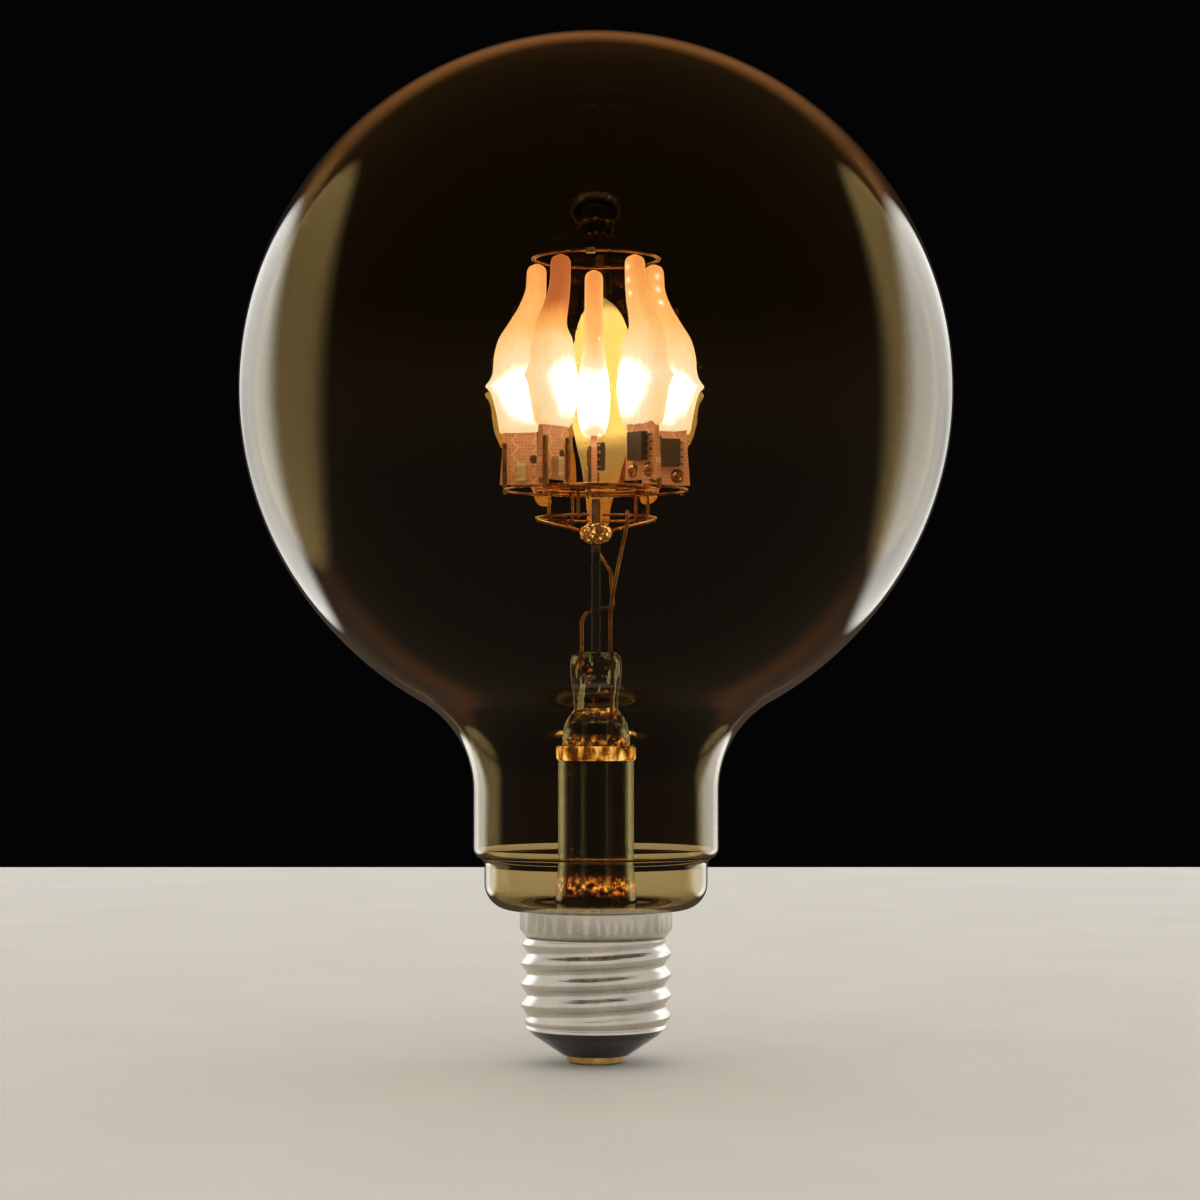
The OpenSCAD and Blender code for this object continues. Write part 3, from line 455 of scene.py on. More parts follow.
gold_glass = glass_material("gold_tinted_soda_glass", colour="f3e2b8", ior=1.5, lamp_colour="fdf8ea",
                            wave_mm=26, wave_depth=0.05)
stem_glass = glass_material("clear_lead_glass", colour="9ea49a", ior=1.5, lamp_colour="fbfcfa",
                            wave_mm=3, wave_depth=0.004)
rod_glass = glass_material("thin_drawn_glass", colour="7c848a", ior=1.06, lamp_colour="fbfcfa",
                           wave_mm=6, wave_depth=0.002)
rod_glass.node_tree.nodes["Principled BSDF"].inputs["Roughness"].default_value = 0.25

# %% [markdown]
# Light that the stem guides down is painted into it as a glow of amber specks: where it
# curves out to the seal, under the dome's shoulder, at the press's waist and on the press. The
# specks are noise, and each place, given by its height, reach and rarity, lets its share of them through.

# %% Painted glow in the stem
stem_tree = stem_glass.node_tree
stem_height = add_node(stem_tree, "ShaderNodeSeparateXYZ", links={
    0: add_node(stem_tree, "ShaderNodeTexCoord").outputs["Object"],
}).outputs["Z"]
speck = grain(stem_glass, 1.3, 3)
speck_light, speck_edge = 1.3, 0.16


def painted_speck_band(z_mm, reach_mm, rarity):
    """Painted amber glow specks in a band of heights. The rarer, the fewer."""
    off = add_node(stem_tree, "ShaderNodeMath", {"operation": "SUBTRACT", 1: z_mm * MM}, {0: stem_height})
    near = add_node(stem_tree, "ShaderNodeMath", {"operation": "ABSOLUTE"}, {0: off.outputs[0]})
    return add_node(stem_tree, "ShaderNodeMath", {"operation": "MULTIPLY"}, {
        0: spread(stem_glass, near.outputs[0], 1, 0, 0, reach_mm * MM),
        1: spread(stem_glass, speck, 0, speck_light, rarity, rarity + speck_edge),
    }).outputs[0]


seal, shoulder = (30.8, 2.2, 0.52), (56.4, 1.4, 0.54)
waist, press = (62.3, 0.9, 0.48), (67, 4, 0.62)
painted_specks = painted_speck_band(*seal)
for place in (shoulder, waist, press):
    painted_specks = add_node(stem_tree, "ShaderNodeMath", {"operation": "MAXIMUM"}, {
        0: painted_specks, 1: painted_speck_band(*place),
    }).outputs[0]
# Painted glow: the specks are emission that stands in for the flames' light guided down the stem.
feed(stem_glass, {
    "Emission Color": ramp(stem_glass, painted_specks, [(0.1, "d8641a"), (0.5, "f08c30"), (0.9, "ffc060")]),
    "Emission Strength": painted_specks,
})
print(stem_glass.name, "with", len(stem_tree.nodes), "nodes")

# %% [markdown]
# The globe is blown in a mould: one wall with an outer and an inner face, from the crown
# through the sweep into the neck, over the step and round the foot to the mouth inside the
# cap. First come its sizes, and where the sweep meets the globe and the step meets its cove.

# %% Sizes of the globe
globe_low, globe_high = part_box("globe_envelope")
globe_r = 62.5 * MM
globe_z = globe_high.z - globe_r
glass_t = 0.8 * MM
neck_r = 21.5 * MM
sweep_r = 18 * MM
step_z = 37.5 * MM
step_r = 2 * MM
cove_r = 1.5 * MM
foot_r = 19.5 * MM
foot_round_r = 4.6 * MM
foot_z = 26.7 * MM
mouth_r = 11 * MM
mouth_z = globe_low.z
ledge_r = 9 * MM

sweep_x = neck_r + sweep_r
sweep_z = globe_z - math.sqrt((globe_r + sweep_r) ** 2 - sweep_x ** 2)
step_x = neck_r - step_r
cove_x = foot_r + cove_r
cove_z = step_z - math.sqrt((step_r + cove_r) ** 2 - (cove_x - step_x) ** 2)
globe_turn = math.degrees(math.atan2(sweep_z - globe_z, sweep_x))
step_turn = math.degrees(math.atan2(cove_z - step_z, cove_x - step_x))
print("the sweep meets the globe", round(-globe_turn, 1), "degrees below its equator")

# %% [markdown]
# Both faces are drawn with the same arcs, a wall's thickness apart, so the edge darkens and
# doubles as real glass does. The outer face runs down to the foot, and the inner one back up.

# %% Globe
def bulb_face(inset):
    """One face of the bulb's wall from the crown down to the foot, drawn in by inset."""
    points = arc(0, globe_z, globe_r - inset, 90, globe_turn, 110)
    points += arc(sweep_x, sweep_z, sweep_r + inset, 180 + globe_turn, 180, 24)[1:]
    points += arc(step_x, step_z, step_r - inset, 0, step_turn, 10)
    points += arc(cove_x, cove_z, cove_r + inset, 180 + step_turn, 180, 8)[1:]
    points += arc(foot_r - foot_round_r, foot_z + foot_round_r, foot_round_r - inset, 0, -90, 16)
    return points


globe_profile = bulb_face(0)
globe_profile += [(mouth_r, foot_z), (mouth_r, mouth_z), (ledge_r, mouth_z), (ledge_r, mouth_z + glass_t)]
globe_profile += [(mouth_r - glass_t, mouth_z + glass_t), (mouth_r - glass_t, foot_z + glass_t)]
globe_profile += bulb_face(glass_t)[::-1]
globe = spun("globe_glass", globe_profile, 192, 50)
hand_in(globe, gold_glass, "clear_glass", "globe_envelope")

# %% [markdown]
# The stem is a tube, flared below and domed above, whose soft top was squeezed flat round
# the lead wires. It is spun as one piece, still round up to its top.

# %% Stem
stem_low, stem_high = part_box("stem_tube")
tube_r = 6.65 * MM
tube_wall = 1 * MM
flare_z = 36 * MM
flare_rim_r = stem_high.x
flare_h = flare_z - stem_low.z
flare_arc_r = (flare_h ** 2 + (flare_rim_r - tube_r) ** 2) / (2 * (flare_rim_r - tube_r))
flare_turn = math.degrees(math.asin(flare_h / flare_arc_r))
press_top = stem_high.z

# Half widths and heights of the press and the dome, in millimetres below the press's top
press_points = [
    (0, 0.55), (1.6, 0.45), (2.9, 0.05), (3.8, 0.25), (4.4, 1.1), (4.6, 2.6), (4.55, 4.4),
    (4.3, 6.3), (4.0, 8.0), (3.95, 8.8), (4.25, 9.7), (4.85, 10.6), (5.35, 11.6), (5.7, 12.9),
    (5.88, 14.4), (5.9, 16.1),
]
dome_points = [(r * MM, press_top - drop * MM) for r, drop in press_points]
shoulder_z = dome_points[-1][1]
shoulder_in, shoulder_dip, shoulder_drop = 0.3 * MM, 0.05 * MM, 0.4 * MM
stem_profile = through(dome_points, 5)
stem_profile += [(tube_r - shoulder_in, shoulder_z - shoulder_dip), (tube_r, shoulder_z - shoulder_drop)]
stem_profile += arc(tube_r + flare_arc_r, flare_z, flare_arc_r, 180, 180 + flare_turn, 24)
stem_profile += [(flare_rim_r - tube_wall, stem_low.z)]
inner_turn = flare_turn - 0.9
stem_profile += arc(tube_r + flare_arc_r, flare_z, flare_arc_r + tube_wall, 180 + inner_turn, 180, 24)
hollow_r = 4.9 * MM
hollow_drop, hollow_rise = 1.4 * MM, 1.3 * MM
stem_profile += [(tube_r - tube_wall, shoulder_z - hollow_drop)]
stem_profile += arc(0, shoulder_z + hollow_rise, hollow_r, 0, 90, 16)
stem = spun("stem_glass", stem_profile, 128, 60)

# %% [markdown]
# Above the dome the stem is then flattened, and dented where the tongs have gripped it. The
# dents are noise of two sizes. They bend what is seen through the glass, which draws the
# dark bent lines in the press.

# %% Press
squeeze_from = press_top - 12.5 * MM
squeeze_full = press_top - 8.6 * MM
press_flat = 0.5
broad_dent, fine_dent = 2.6 * MM, 1.1 * MM
broad_depth, fine_depth = 0.45, 0.18
side_share, front_share = 0.06, 0.45
side_mean, front_mean = 0.4, 0.25
for vertex in stem.data.vertices:
    part = min(1, max(0, (vertex.co.z - squeeze_from) / (squeeze_full - squeeze_from)))
    part = part * part * (3 - 2 * part)
    vertex.co.y *= 1 - (1 - press_flat) * part
    dent = noise.noise(vertex.co / broad_dent) * broad_depth
    dent += noise.noise(vertex.co / fine_dent) * fine_depth
    vertex.co.x *= 1 - side_share * part * (dent + side_mean)
    vertex.co.y *= 1 - front_share * part * (dent + front_mean)
hand_in(stem, stem_glass, "stem_glass", "stem_tube")

# %% [markdown]
# Inside the stem runs the exhaust tube, through which the lamp was pumped out, sealed to a
# point below. A thin glass rod rises from the press to the bead. Both are drawn glass, so
# they are spun smooth.

# %% Exhaust tube and rod
tube_low, tube_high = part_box("exhaust_tube")
exhaust_r = tube_high.x
exhaust_wall = 0.7 * MM
seal_h = 2 * MM
tip_h = 0.1 * MM
exhaust_profile = [
    (0, tube_low.z), (exhaust_wall, tube_low.z + tip_h), (exhaust_r, tube_low.z + seal_h),
    (exhaust_r, tube_high.z), (exhaust_r - exhaust_wall, tube_high.z),
    (exhaust_r - exhaust_wall, tube_low.z + seal_h + exhaust_wall), (0, tube_low.z + seal_h),
]
exhaust = spun("exhaust_glass", exhaust_profile, 64, 30)
hand_in(exhaust, stem_glass, "stem_glass", "exhaust_tube")

rod_low, rod_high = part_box("centre_rod")
rod_edge = 0.25 * MM
rod_profile = [(0, rod_low.z), (rod_high.x, rod_low.z), (rod_high.x, rod_high.z - rod_edge)]
rod_profile += [(rod_high.x - rod_edge, rod_high.z), (0, rod_high.z)]
rod = spun("rod_glass", rod_profile, 48, 30)
hand_in(rod, rod_glass, "stem_glass", "centre_rod")

# %% [markdown]
# The bead on the rod is a lump of glass that was melted round it and is full of small
# bubbles and cracks. Each crack mirrors the flames above it, so the bead glitters gold. A
# ball is chipped into small facets, and about every fifth crack in its pattern glows with a
# painted reflection of the flames.

# %% Bead
bead_low, bead_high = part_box("rod_bead")
bead_size = (bead_high - bead_low) / 2
bead_z = (bead_high.z + bead_low.z) / 2
bpy.ops.object.select_all(action="DESELECT")
bpy.ops.mesh.primitive_ico_sphere_add(subdivisions=4, radius=1, location=(0, 0, 0))
bead = bpy.context.object
bead.name = "bead_glass"
facets, facet_depth = 6.5, 0.11
lumps, lump_depth = 4, 0.05
roundness, fullness = 0.84, 0.93
crack_size = 0.42 * MM
for vertex in bead.data.vertices:
    spot = vertex.co
    chip = noise.cell(spot * facets) * facet_depth + noise.noise(spot * lumps) * lump_depth
    squarer = 1 / max(roundness, (abs(spot.x) ** 4 + abs(spot.y) ** 4 + abs(spot.z) ** 4) ** 0.25)
    size = min(1, squarer * (fullness - chip))
    vertex.co = Vector([spot[a] * size * bead_size[a] for a in range(3)]) + Vector((0, 0, bead_z))
bead_material = new_material("crackled_bead_glass", {
    "Roughness": 0.05, "IOR": 1.6, "Transmission Weight": 0.6,
})
crackle = add_node(bead_material.node_tree, "ShaderNodeTexVoronoi", {"Scale": 1 / crack_size}, {
    "Vector": add_node(bead_material.node_tree, "ShaderNodeTexCoord").outputs["Object"],
})
# Painted reflection: the glowing cracks are emission that stands in for the flames mirrored in them.
painted_glint = spread(bead_material, crackle.outputs["Color"], 0, 1.2, 0.7, 0.85)
feed(bead_material, {
    "Base Color": ramp(bead_material, crackle.outputs["Color"], [(0.2, "6a3c14"), (0.8, "d09a50")]),
    "Emission Color": ramp(bead_material, painted_glint, [(0.1, "b86a20"), (0.9, "ffd890")]),
    "Emission Strength": painted_glint,
    "Normal": relief(bead_material, crackle.outputs["Distance"], 0.15),
})
hand_in(bead, bead_material, "bead_glass", "rod_bead")

# %% [markdown]
# A gold collar grips the stem under its dome. It is a turned ring with rounded edges. The
# stem guides the flames' light down to it, and its rippled gold gives that light back in
# bright streaks, which are painted into the material as a patchy glow.

# %% Collar
collar_low, collar_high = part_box("stem_collar")
collar_r = collar_high.x
collar_round = 0.5 * MM
collar_gap = 0.05 * MM
collar_in_r = tube_r + collar_gap
collar_profile = [(collar_in_r, collar_low.z), (collar_r - collar_round, collar_low.z)]
collar_profile += arc(collar_r - collar_round, collar_low.z + collar_round, collar_round, -60, 0, 5)
collar_profile += arc(collar_r - collar_round, collar_high.z - collar_round, collar_round, 0, 90, 6)
collar_profile += [(collar_in_r, collar_high.z)]
collar = spun("collar_ring", collar_profile, 96, 60)
collar_gold = new_material("polished_gold_plate", {"Metallic": 1.0, "Roughness": 0.16})
ripple = grain(collar_gold, 1.1, 2, (1, 1, 0.5))
# Painted glow: streaks of emission stand in for the flames' light given back by the gold.
painted_streak = spread(collar_gold, grain(collar_gold, 1.6, 4, (1, 1, 0.5)), 0.04, 1.3, 0.42, 0.7)
feed(collar_gold, {
    "Base Color": ramp(collar_gold, ripple, [(0.3, "b5711f"), (0.7, "f2b654")]),
    "Emission Color": ramp(collar_gold, painted_streak, [(0.05, "a04a10"), (0.5, "f0a040"), (1.0, "ffdc90")]),
    "Emission Strength": painted_streak,
    "Normal": relief(collar_gold, ripple, 0.3),
})
hand_in(collar, collar_gold, "collar_gold", "stem_collar")

# %% [markdown]
# The cage is bent from drawn brass wire. Welding has left it with darker, browner stretches,
# so colour and gloss drift along it. The pins that carry the boards are duller, and the
# crimp on the top hoop is a folded bit of bright sheet.

# %% Wires
brass = new_material("drawn_brass_wire", {"Metallic": 1.0})
brass_drift = grain(brass, 5)
feed(brass, {
    "Base Color": ramp(brass, brass_drift, [(0.3, "7c4a1e"), (0.5, "ba7e3a"), (0.7, "e0ac5c")]),
    "Roughness": spread(brass, grain(brass, 0.4), 0.12, 0.28),
})
coat(brass, "bead_wires", "lead_wire_left", "lead_wire_right", "half_hoop_left", "half_hoop_right",
     "hoop_posts", "inner_hoop", "outer_hoop", "top_hoop", "tip_wires")

bronze = new_material("plated_pin_metal", {"Metallic": 1.0})
feed(bronze, {
    "Base Color": ramp(bronze, grain(bronze, 1.5), [(0.3, "5e4228"), (0.7, "a07a4c")]),
    "Roughness": spread(bronze, grain(bronze, 0.3), 0.3, 0.5),
})
coat(bronze, "board_pins")

tinned = new_material("tinned_metal", {"Metallic": 1.0})
feed(tinned, {
    "Base Color": ramp(tinned, grain(tinned, 0.8), [(0.3, "8c7a66"), (0.7, "c8baa4")]),
    "Roughness": spread(tinned, grain(tinned, 0.25), 0.16, 0.36),
    "Normal": relief(tinned, grain(tinned, 0.5), 0.06),
})
coat(tinned, "chip_legs", "contact_solder", "shell_wire", "top_hoop_crimp")

# The solder under the chips is glazed brown by flux
browned = new_material("flux_browned_solder", {"Metallic": 1.0})
feed(browned, {
    "Base Color": ramp(browned, grain(browned, 0.9), [(0.3, "8a5a30"), (0.7, "e0b070")]),
    "Roughness": spread(browned, grain(browned, 0.3), 0.2, 0.38),
})
coat(browned, "board_solder")

# %% [markdown]
# Each flame stands in the plane of a board, turned round the axis by its own angle. These
# turns, and the places of the light chips in the plane of their board, are read from the
# frame. The light in the skins is worked out from them.

# %% Places of the flames
BOARDS = range(1, 6)


def board_turn(i):
    """Direction of a board from the axis, as the angle of the middle of its box."""
    low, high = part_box(f"flame_board_{i}")
    return math.atan2(low.y + high.y, low.x + high.x)


def in_plane(point, turn):
    """A point as distance from the axis, distance behind the board's middle, and height."""
    out = point[0] * math.cos(turn) + point[1] * math.sin(turn)
    behind = point[1] * math.cos(turn) - point[0] * math.sin(turn)
    return out / MM, behind / MM, point[2] / MM


turns = {i: board_turn(i) for i in BOARDS}
print("board turns:", {i: round(math.degrees(turn), 1) for i, turn in turns.items()})

# %% [markdown]
# The skin of a flame is a soft translucent silicone with yellow phosphor in it, cast over
# the board and its chips. The lit chips make it glow: orange in the slim finger, cream above
# and white-hot in the belly, with a bright dot over each chip on the chips' own side. The
# glow is kept in an attribute of the mesh and coloured by a ramp. A real skin is far brighter
# than a picture can show, so its mirror image in glass is still bright, and shows its orange.
# Rays that the glass has mirrored therefore see it brighter and more orange.

# %% Silicone skin
silicone = new_material("glowing_silicone_skin", {"Base Color": linear("8a5c3a"), "Roughness": 0.42})
glow = add_node(silicone.node_tree, "ShaderNodeAttribute", {"attribute_name": "glow"}).outputs["Fac"]
cloud = spread(silicone, grain(silicone, 1.1, 4, (1, 1, 0.3)), -0.03, 0.03)
lit = add_node(silicone.node_tree, "ShaderNodeMath", {"operation": "ADD"}, {0: glow, 1: cloud}).outputs[0]
white_from, white_to, white_light = 0.74, 1.4, 20
belly_light = add_node(silicone.node_tree, "ShaderNodeMapRange", {
    "interpolation_type": "SMOOTHSTEP", 1: white_from, 2: white_to, 3: 1.0, 4: white_light,
}, {0: lit}).outputs[0]
skin_path = add_node(silicone.node_tree, "ShaderNodeLightPath")
in_glass = add_node(silicone.node_tree, "ShaderNodeMath", {"operation": "MULTIPLY", "use_clamp": True}, {
    0: skin_path.outputs["Glossy Depth"], 1: skin_path.outputs["Is Singular Ray"],
}).outputs[0]
mirror_gain = 5
gain = add_node(silicone.node_tree, "ShaderNodeMath", {
    "operation": "MULTIPLY_ADD", 1: mirror_gain, 2: 1,
}, {0: in_glass}).outputs[0]
strength = add_node(silicone.node_tree, "ShaderNodeMath", {"operation": "MULTIPLY"}, {
    0: belly_light, 1: gain,
}).outputs[0]
skin_colour = ramp(silicone, lit, [
    (0.0, "96462c"), (0.12, "b4603c"), (0.24, "f09c60"), (0.36, "fcbc7c"), (0.46, "ffcc8c"),
    (0.56, "ffe0b4"), (0.66, "fff4dc"), (0.76, "ffffff"),
])
mirror_colour = add_node(silicone.node_tree, "ShaderNodeMix", {
    "data_type": "RGBA", "blend_type": "MULTIPLY",
}, {0: in_glass, 6: skin_colour})
mirror_colour.inputs[7].default_value = linear("ffd890")
feed(silicone, {
    "Emission Color": mirror_colour.outputs[2],
    "Emission Strength": strength,
    "Normal": relief(silicone, grain(silicone, 0.9), 0.03),
})
print(silicone.name, "with", len(silicone.node_tree.nodes), "nodes")

# %% [markdown]
# How bright a spot of skin glows depends on its height and on how far it is from the edges.
# The belly is brightest, towards the middle of the ring. The third flame stands edge-on in
# front and glows on both its edges. The fifth one's upper chips are dark, so its finger only
# passes on light from below.

# %% Glow of the skins
skin_low, skin_high = [corner.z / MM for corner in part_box("flame_skin_1")]
dark_finger = 5
light_chip_l = 1.4
light_chip_pitch = 2.3
top_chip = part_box("light_chips")[1].z / MM - light_chip_l / 2
finger_chips = [top_chip - k * light_chip_pitch for k in range(3)]
dot_r = 0.55
hot_z = 117.2
hot_h = 4.2
hot_side = -0.3
hot_w = 0.85
edge_on = 3
belly_glow = 0.46
edge_on_glow = 0.62
edge_on_stretch = 1.3
far_edge_share = 0.7
dot_glow = 0.42
rim_loss = 0.1
dark_loss = 0.75
dark_from, dark_reach = 0.5, 0.24
height_glow = [
    (0, 0.64), (0.05, 0.7), (0.3, 0.72), (0.42, 0.68), (0.52, 0.62), (0.64, 0.5), (0.8, 0.42), (1, 0.34),
]


def between(table, x):
    """Straight line through the points of a table."""
    for (x0, y0), (x1, y1) in zip(table, table[1:]):
        if x <= x1:
            return y0 + (y1 - y0) * max(0, x - x0) / (x1 - x0)
    return table[-1][1]


def glow_at(spot, edges, i):
    """Share of full glow at a spot of skin i, between its edges at that height."""
    out, behind, z = spot
    share = (z - skin_low) / (skin_high - skin_low)
    low, high = edges[round(z * 2)]
    side = (2 * out - low - high) / max(1, high - low)
    light = between(height_glow, share) - rim_loss * abs(side) ** 3
    if i == edge_on:
        belly = edge_on_glow * math.exp(-((z - hot_z) / (edge_on_stretch * hot_h)) ** 2)
        return light + belly * (1 if side > 0 else far_edge_share)
    light += belly_glow * math.exp(-((z - hot_z) / hot_h) ** 2 - ((side - hot_side) / hot_w) ** 2)
    if i == dark_finger:
        light *= 1 - dark_loss * min(1, max(0, (share - dark_from) / dark_reach))
    elif behind < 0:
        off = min(math.hypot(out - (low + high) / 2, z - chip_z) for chip_z in finger_chips)
        light += dot_glow * math.exp(-(off / dot_r) ** 2)
    return light


print("chips in a finger at", [round(chip_z, 1) for chip_z in finger_chips], "mm")

# %% [markdown]
# A skin is a copy of the CAD piece, whose loft has flat facets. It is rebuilt from small
# cubes and smoothed, as soft silicone would flow. Then the edges at every half millimetre of
# height are measured, and each vertex gets its glow.

# %% Flame skins
skin_voxel = 0.22 * MM
for i in BOARDS:
    skin = cad_copy(f"flame_skin_{i}", f"skin_{i}")
    apply_modifier(skin, "REMESH", mode="VOXEL", voxel_size=skin_voxel)
    apply_modifier(skin, "SMOOTH", factor=0.5, iterations=10)
    only(skin)
    bpy.ops.object.shade_smooth()
    spots = [in_plane(vertex.co, turns[i]) for vertex in skin.data.vertices]
    edges = {}
    for out, behind, z in spots:
        low, high = edges.get(round(z * 2), (out, out))
        edges[round(z * 2)] = (min(low, out), max(high, out))
    values = skin.data.attributes.new("glow", "FLOAT", "POINT")
    for k, spot in enumerate(spots):
        values.data[k].value = glow_at(spot, edges, i)
    hand_in(skin, silicone, "flame_skin", f"flame_skin_{i}")

# %% [markdown]
# The boards are thin laminate with a pinkish mask over copper. A fine weave shows through,
# and pale zigzag tracks and a dark round pad lie on it. The pattern is drawn in the plane
# of each board, from a map of the board in millimetres.

# %% Board mask
mask = new_material("board_mask_over_copper", {"Roughness": 0.38, "Specular IOR Level": 0.4})
mask_tree = mask.node_tree
board_map = add_node(mask_tree, "ShaderNodeUVMap", {"uv_map": "board_mm"}).outputs[0]
weave = add_node(mask_tree, "ShaderNodeTexBrick", {
    "offset": 0, "Color1": linear("c98262"), "Color2": linear("d69274"), "Mortar": linear("e8b294"),
    "Scale": 1, "Mortar Size": 0.05, "Mortar Smooth": 0.5, "Brick Width": 0.62, "Row Height": 0.62,
}, {"Vector": board_map})
board_axes = add_node(mask_tree, "ShaderNodeSeparateXYZ", links={0: board_map})


def zigzag(place, swing, step, half_width):
    """Mask of a zigzag track that runs up the board at a distance from the axis."""
    wave = add_node(mask_tree, "ShaderNodeMath", {"operation": "PINGPONG", 1: step}, {
        0: board_axes.outputs["Y"],
    })
    bent = add_node(mask_tree, "ShaderNodeMath", {"operation": "MULTIPLY_ADD", 1: swing, 2: place}, {
        0: wave.outputs[0],
    })
    near = add_node(mask_tree, "ShaderNodeMath", {"operation": "COMPARE", 2: half_width}, {
        0: board_axes.outputs["X"], 1: bent.outputs[0],
    })
    return near.outputs[0]


def mixed(fac, first, second):
    """Second colour over the first by a mask."""
    node = add_node(mask_tree, "ShaderNodeMix", {"data_type": "RGBA"}, {0: fac, 6: first})
    node.inputs[7].default_value = linear(second)
    return node.outputs[2]


track_colour = "f0c6a4"
track_half = 0.13
inner_track = zigzag(place=10.4, swing=1.2, step=0.9, half_width=track_half)
outer_track = zigzag(place=15.4, swing=-1.0, step=1.3, half_width=track_half)
tracks = mixed(inner_track, weave.outputs["Color"], track_colour)
tracks = mixed(outer_track, tracks, track_colour)
pad_place, pad_r = (11.3, 105.7, 0), 0.75
pad_off = add_node(mask_tree, "ShaderNodeVectorMath", {"operation": "DISTANCE", 1: pad_place}, {
    0: board_map,
})
pad = add_node(mask_tree, "ShaderNodeMath", {"operation": "LESS_THAN", 1: pad_r}, {
    0: pad_off.outputs["Value"],
})
feed(mask, {"Base Color": mixed(pad.outputs[0], tracks, "5a2c1c")})
print(mask.name, "with", len(mask_tree.nodes), "nodes")

# %% [markdown]
# The boards keep their CAD shape. A copy is made only to carry the map, whose two
# directions are the distance from the axis and the height.

# %% Board pieces
for i in BOARDS:
    board = cad_copy(f"flame_board_{i}", f"board_{i}")
    board_uv = board.data.uv_layers.new(name="board_mm")
    for loop in board.data.loops:
        out, behind, z = in_plane(board.data.vertices[loop.vertex_index].co, turns[i])
        board_uv.data[loop.index].uv = (out, z)
    hand_in(board, mask, "flame_board", f"flame_board_{i}")

# %% [markdown]
# The driver chips are moulded epoxy, matt and nearly black, with softly rounded edges. The
# same stuff makes the rectifier in the cap. The light chips, which the skins hide, are under
# a yellow phosphor that glows.

# %% Chips
epoxy = new_material("moulded_black_epoxy", {"Roughness": 0.45})
feed(epoxy, {
    "Base Color": ramp(epoxy, grain(epoxy, 0.3), [(0.3, "2e1c12"), (0.7, "44291a")]),
    "Normal": relief(epoxy, grain(epoxy, 0.12), 0.01),
})
chip_edge = 0.12 * MM
chips = cad_copy("driver_chips", "chip_bodies")
apply_modifier(chips, "BEVEL", width=chip_edge, segments=2, limit_method="ANGLE")
hand_in(chips, epoxy, "chip_body", "driver_chips")
coat(epoxy, "rectifier")

phosphor = new_material("yellow_phosphor", {
    "Base Color": linear("f2d24c"), "Roughness": 0.4,
    "Emission Color": linear("fff0c8"), "Emission Strength": 2.0,
})
coat(phosphor, "light_chips")

# %% [markdown]
# The block capacitors are sintered tan ceramic with silvery ends, which reach a little way
# up and down the block. All stand at the same height, so the ends are coloured by height.

# %% Block capacitors
ceramic = new_material("sintered_tan_ceramic", {"Roughness": 0.5})
block_low, block_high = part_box("chip_capacitors")
block_mid = (block_low.z + block_high.z) / 2
end_cap = 0.55 * MM
end_from = (block_high.z - block_low.z) / 2 - end_cap
block_tree = ceramic.node_tree
ceramic_z = add_node(block_tree, "ShaderNodeSeparateXYZ", links={
    0: add_node(block_tree, "ShaderNodeTexCoord").outputs["Object"],
}).outputs["Z"]
ceramic_off = add_node(block_tree, "ShaderNodeMath", {"operation": "SUBTRACT", 1: block_mid}, {
    0: ceramic_z,
})
ceramic_far = add_node(block_tree, "ShaderNodeMath", {"operation": "ABSOLUTE"}, {
    0: ceramic_off.outputs[0],
})
ends = add_node(block_tree, "ShaderNodeMath", {"operation": "GREATER_THAN", 1: end_from}, {
    0: ceramic_far.outputs[0],
})
ceramic_colour = ramp(ceramic, grain(ceramic, 0.4), [(0.3, "b89468"), (0.7, "d0b084")])
ceramic_mix = add_node(block_tree, "ShaderNodeMix", {"data_type": "RGBA"}, {
    0: ends.outputs[0], 6: ceramic_colour,
})
ceramic_mix.inputs[7].default_value = linear("d8d2c6")
feed(ceramic, {"Base Color": ceramic_mix.outputs[2], "Metallic": ends.outputs[0]})
coat(ceramic, "chip_capacitors")

# %% [markdown]
# The screw shell is thin brass sheet, rolled to the thread and nickel plated. Rolling leaves
# faint lines round it, and handling leaves dull spots. A merged copy of the CAD shell is
# shaded smooth, so the rolled thread has no facets.

# %% Cap shell
nickel = new_material("nickel_plated_sheet", {"Metallic": 1.0})
feed(nickel, {
    "Base Color": ramp(nickel, grain(nickel, 6), [(0.3, "bdb8ae"), (0.7, "d2cdc3")]),
    "Roughness": spread(nickel, grain(nickel, 2.5), 0.16, 0.3),
    "Normal": relief(nickel, grain(nickel, 0.5, 2, (0.15, 0.15, 1)), 0.015),
})
shell = cad_copy("cap_shell", "rolled_shell")
only(shell)
bpy.ops.object.shade_smooth_by_angle(angle=math.radians(38))
hand_in(shell, nickel, "cap_nickel", "cap_shell")

# %% [markdown]
# Under the shell, black glass insulates the brass centre contact, and a drop of solder
# closes the contact's hole. White cement holds the globe in the cap.

# %% Cap foot
black_glass = new_material("black_insulator_glass", {"Roughness": 0.14, "IOR": 1.55})
feed(black_glass, {
    "Base Color": ramp(black_glass, grain(black_glass, 2.5), [(0.3, "120f10"), (0.7, "221c20")]),
    "Normal": relief(black_glass, grain(black_glass, 1.8), 0.05),
})
coat(black_glass, "cap_insulator")

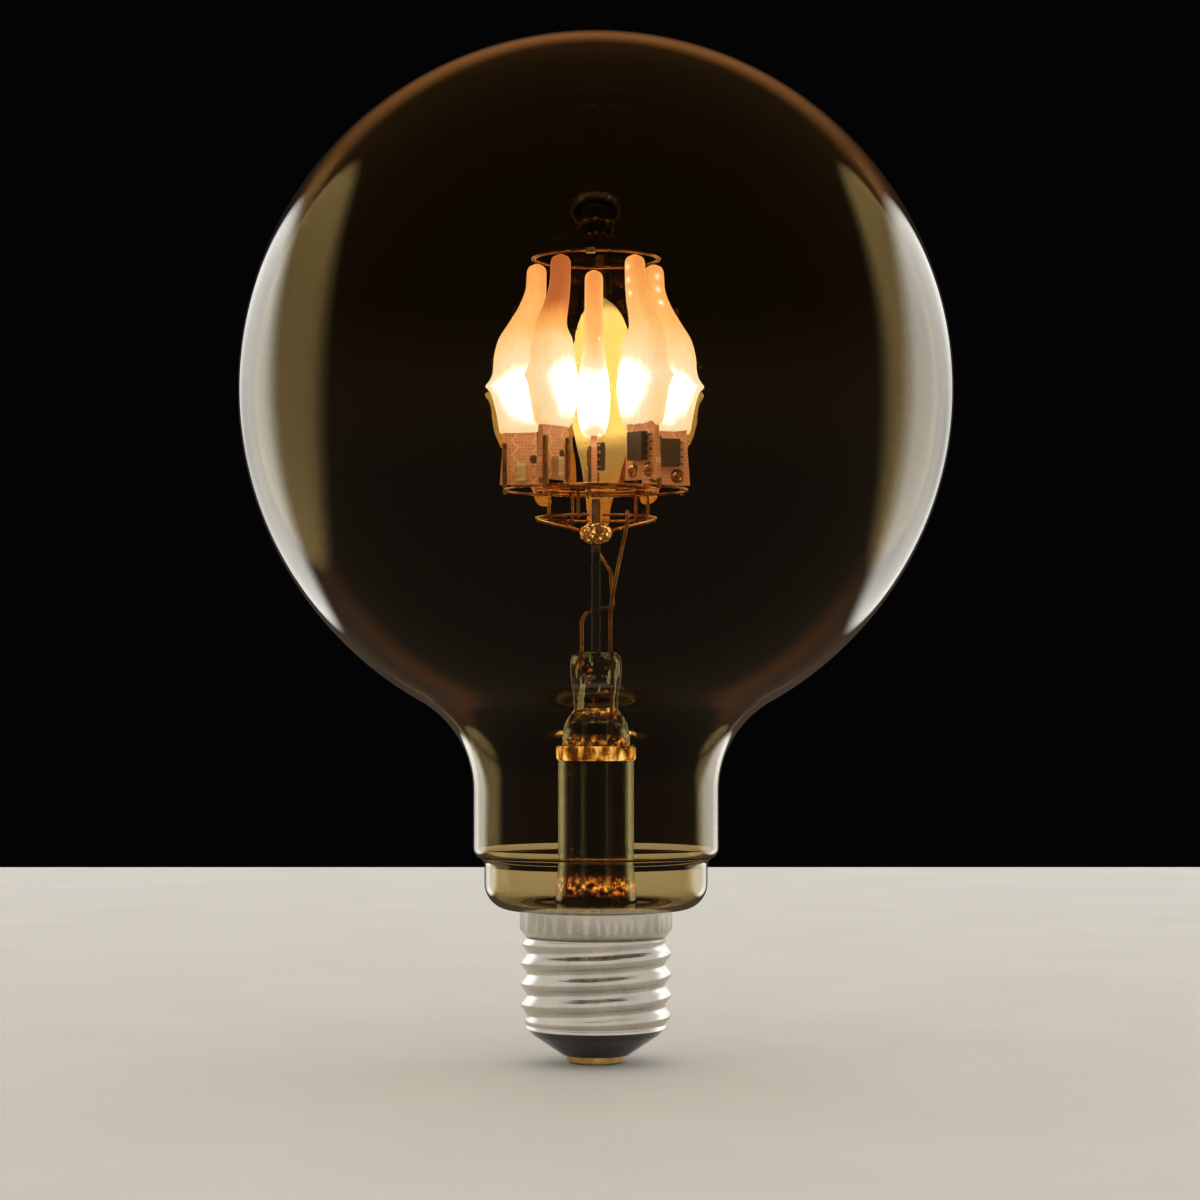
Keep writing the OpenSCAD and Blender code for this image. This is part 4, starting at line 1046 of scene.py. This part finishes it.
contact_brass = new_material("stamped_brass", {"Metallic": 1.0})
feed(contact_brass, {
    "Base Color": ramp(contact_brass, grain(contact_brass, 1.6), [(0.3, "a8823c"), (0.7, "d2ae66")]),
    "Roughness": spread(contact_brass, grain(contact_brass, 0.8), 0.24, 0.42),
})
coat(contact_brass, "centre_contact")

cement = new_material("set_cement", {"Roughness": 0.85})
feed(cement, {
    "Base Color": ramp(cement, grain(cement, 0.7), [(0.3, "b9b0a0"), (0.7, "d6cfc2")]),
    "Normal": relief(cement, grain(cement, 0.4), 0.08),
})
coat(cement, "cap_cement")

# %% [markdown]
# The driver in the cap can't be seen, but it has its real materials: a green laminate board,
# a capacitor in a shrunk sleeve with a paler stripe, and a lacquered resistor with rings.

# %% Driver in the cap
laminate = new_material("green_laminate", {"Roughness": 0.4})
feed(laminate, {"Base Color": ramp(laminate, grain(laminate, 0.6), [(0.3, "1c4a2c"), (0.7, "2a6a40")])})
coat(laminate, "driver_board")

sleeve = new_material("shrunk_sleeve", {"Roughness": 0.3})
sleeve_x = add_node(sleeve.node_tree, "ShaderNodeSeparateXYZ", links={
    0: add_node(sleeve.node_tree, "ShaderNodeTexCoord").outputs["Object"],
}).outputs["X"]
stripe_w = 0.8 * MM
stripe_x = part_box("capacitor")[0].x + stripe_w
stripe = add_node(sleeve.node_tree, "ShaderNodeMath", {"operation": "LESS_THAN", 1: stripe_x}, {
    0: sleeve_x,
})
feed(sleeve, {"Base Color": ramp(sleeve, stripe.outputs[0], [(0.4, "28244c"), (0.6, "a8a6b8")])})
coat(sleeve, "capacitor")

lacquer = new_material("lacquered_ceramic", {"Roughness": 0.35})
lacquer_z = add_node(lacquer.node_tree, "ShaderNodeSeparateXYZ", links={
    0: add_node(lacquer.node_tree, "ShaderNodeTexCoord").outputs["Object"],
}).outputs["Z"]
ring_step = 0.8 * MM
rings = add_node(lacquer.node_tree, "ShaderNodeMath", {"operation": "PINGPONG", 1: ring_step}, {
    0: lacquer_z,
})
ring_share = spread(lacquer, rings.outputs[0], 0, 1, 0, ring_step)
feed(lacquer, {"Base Color": ramp(lacquer, ring_share, [(0.2, "5a3a24"), (0.3, "8fb0b8")])})
coat(lacquer, "fuse_resistor")
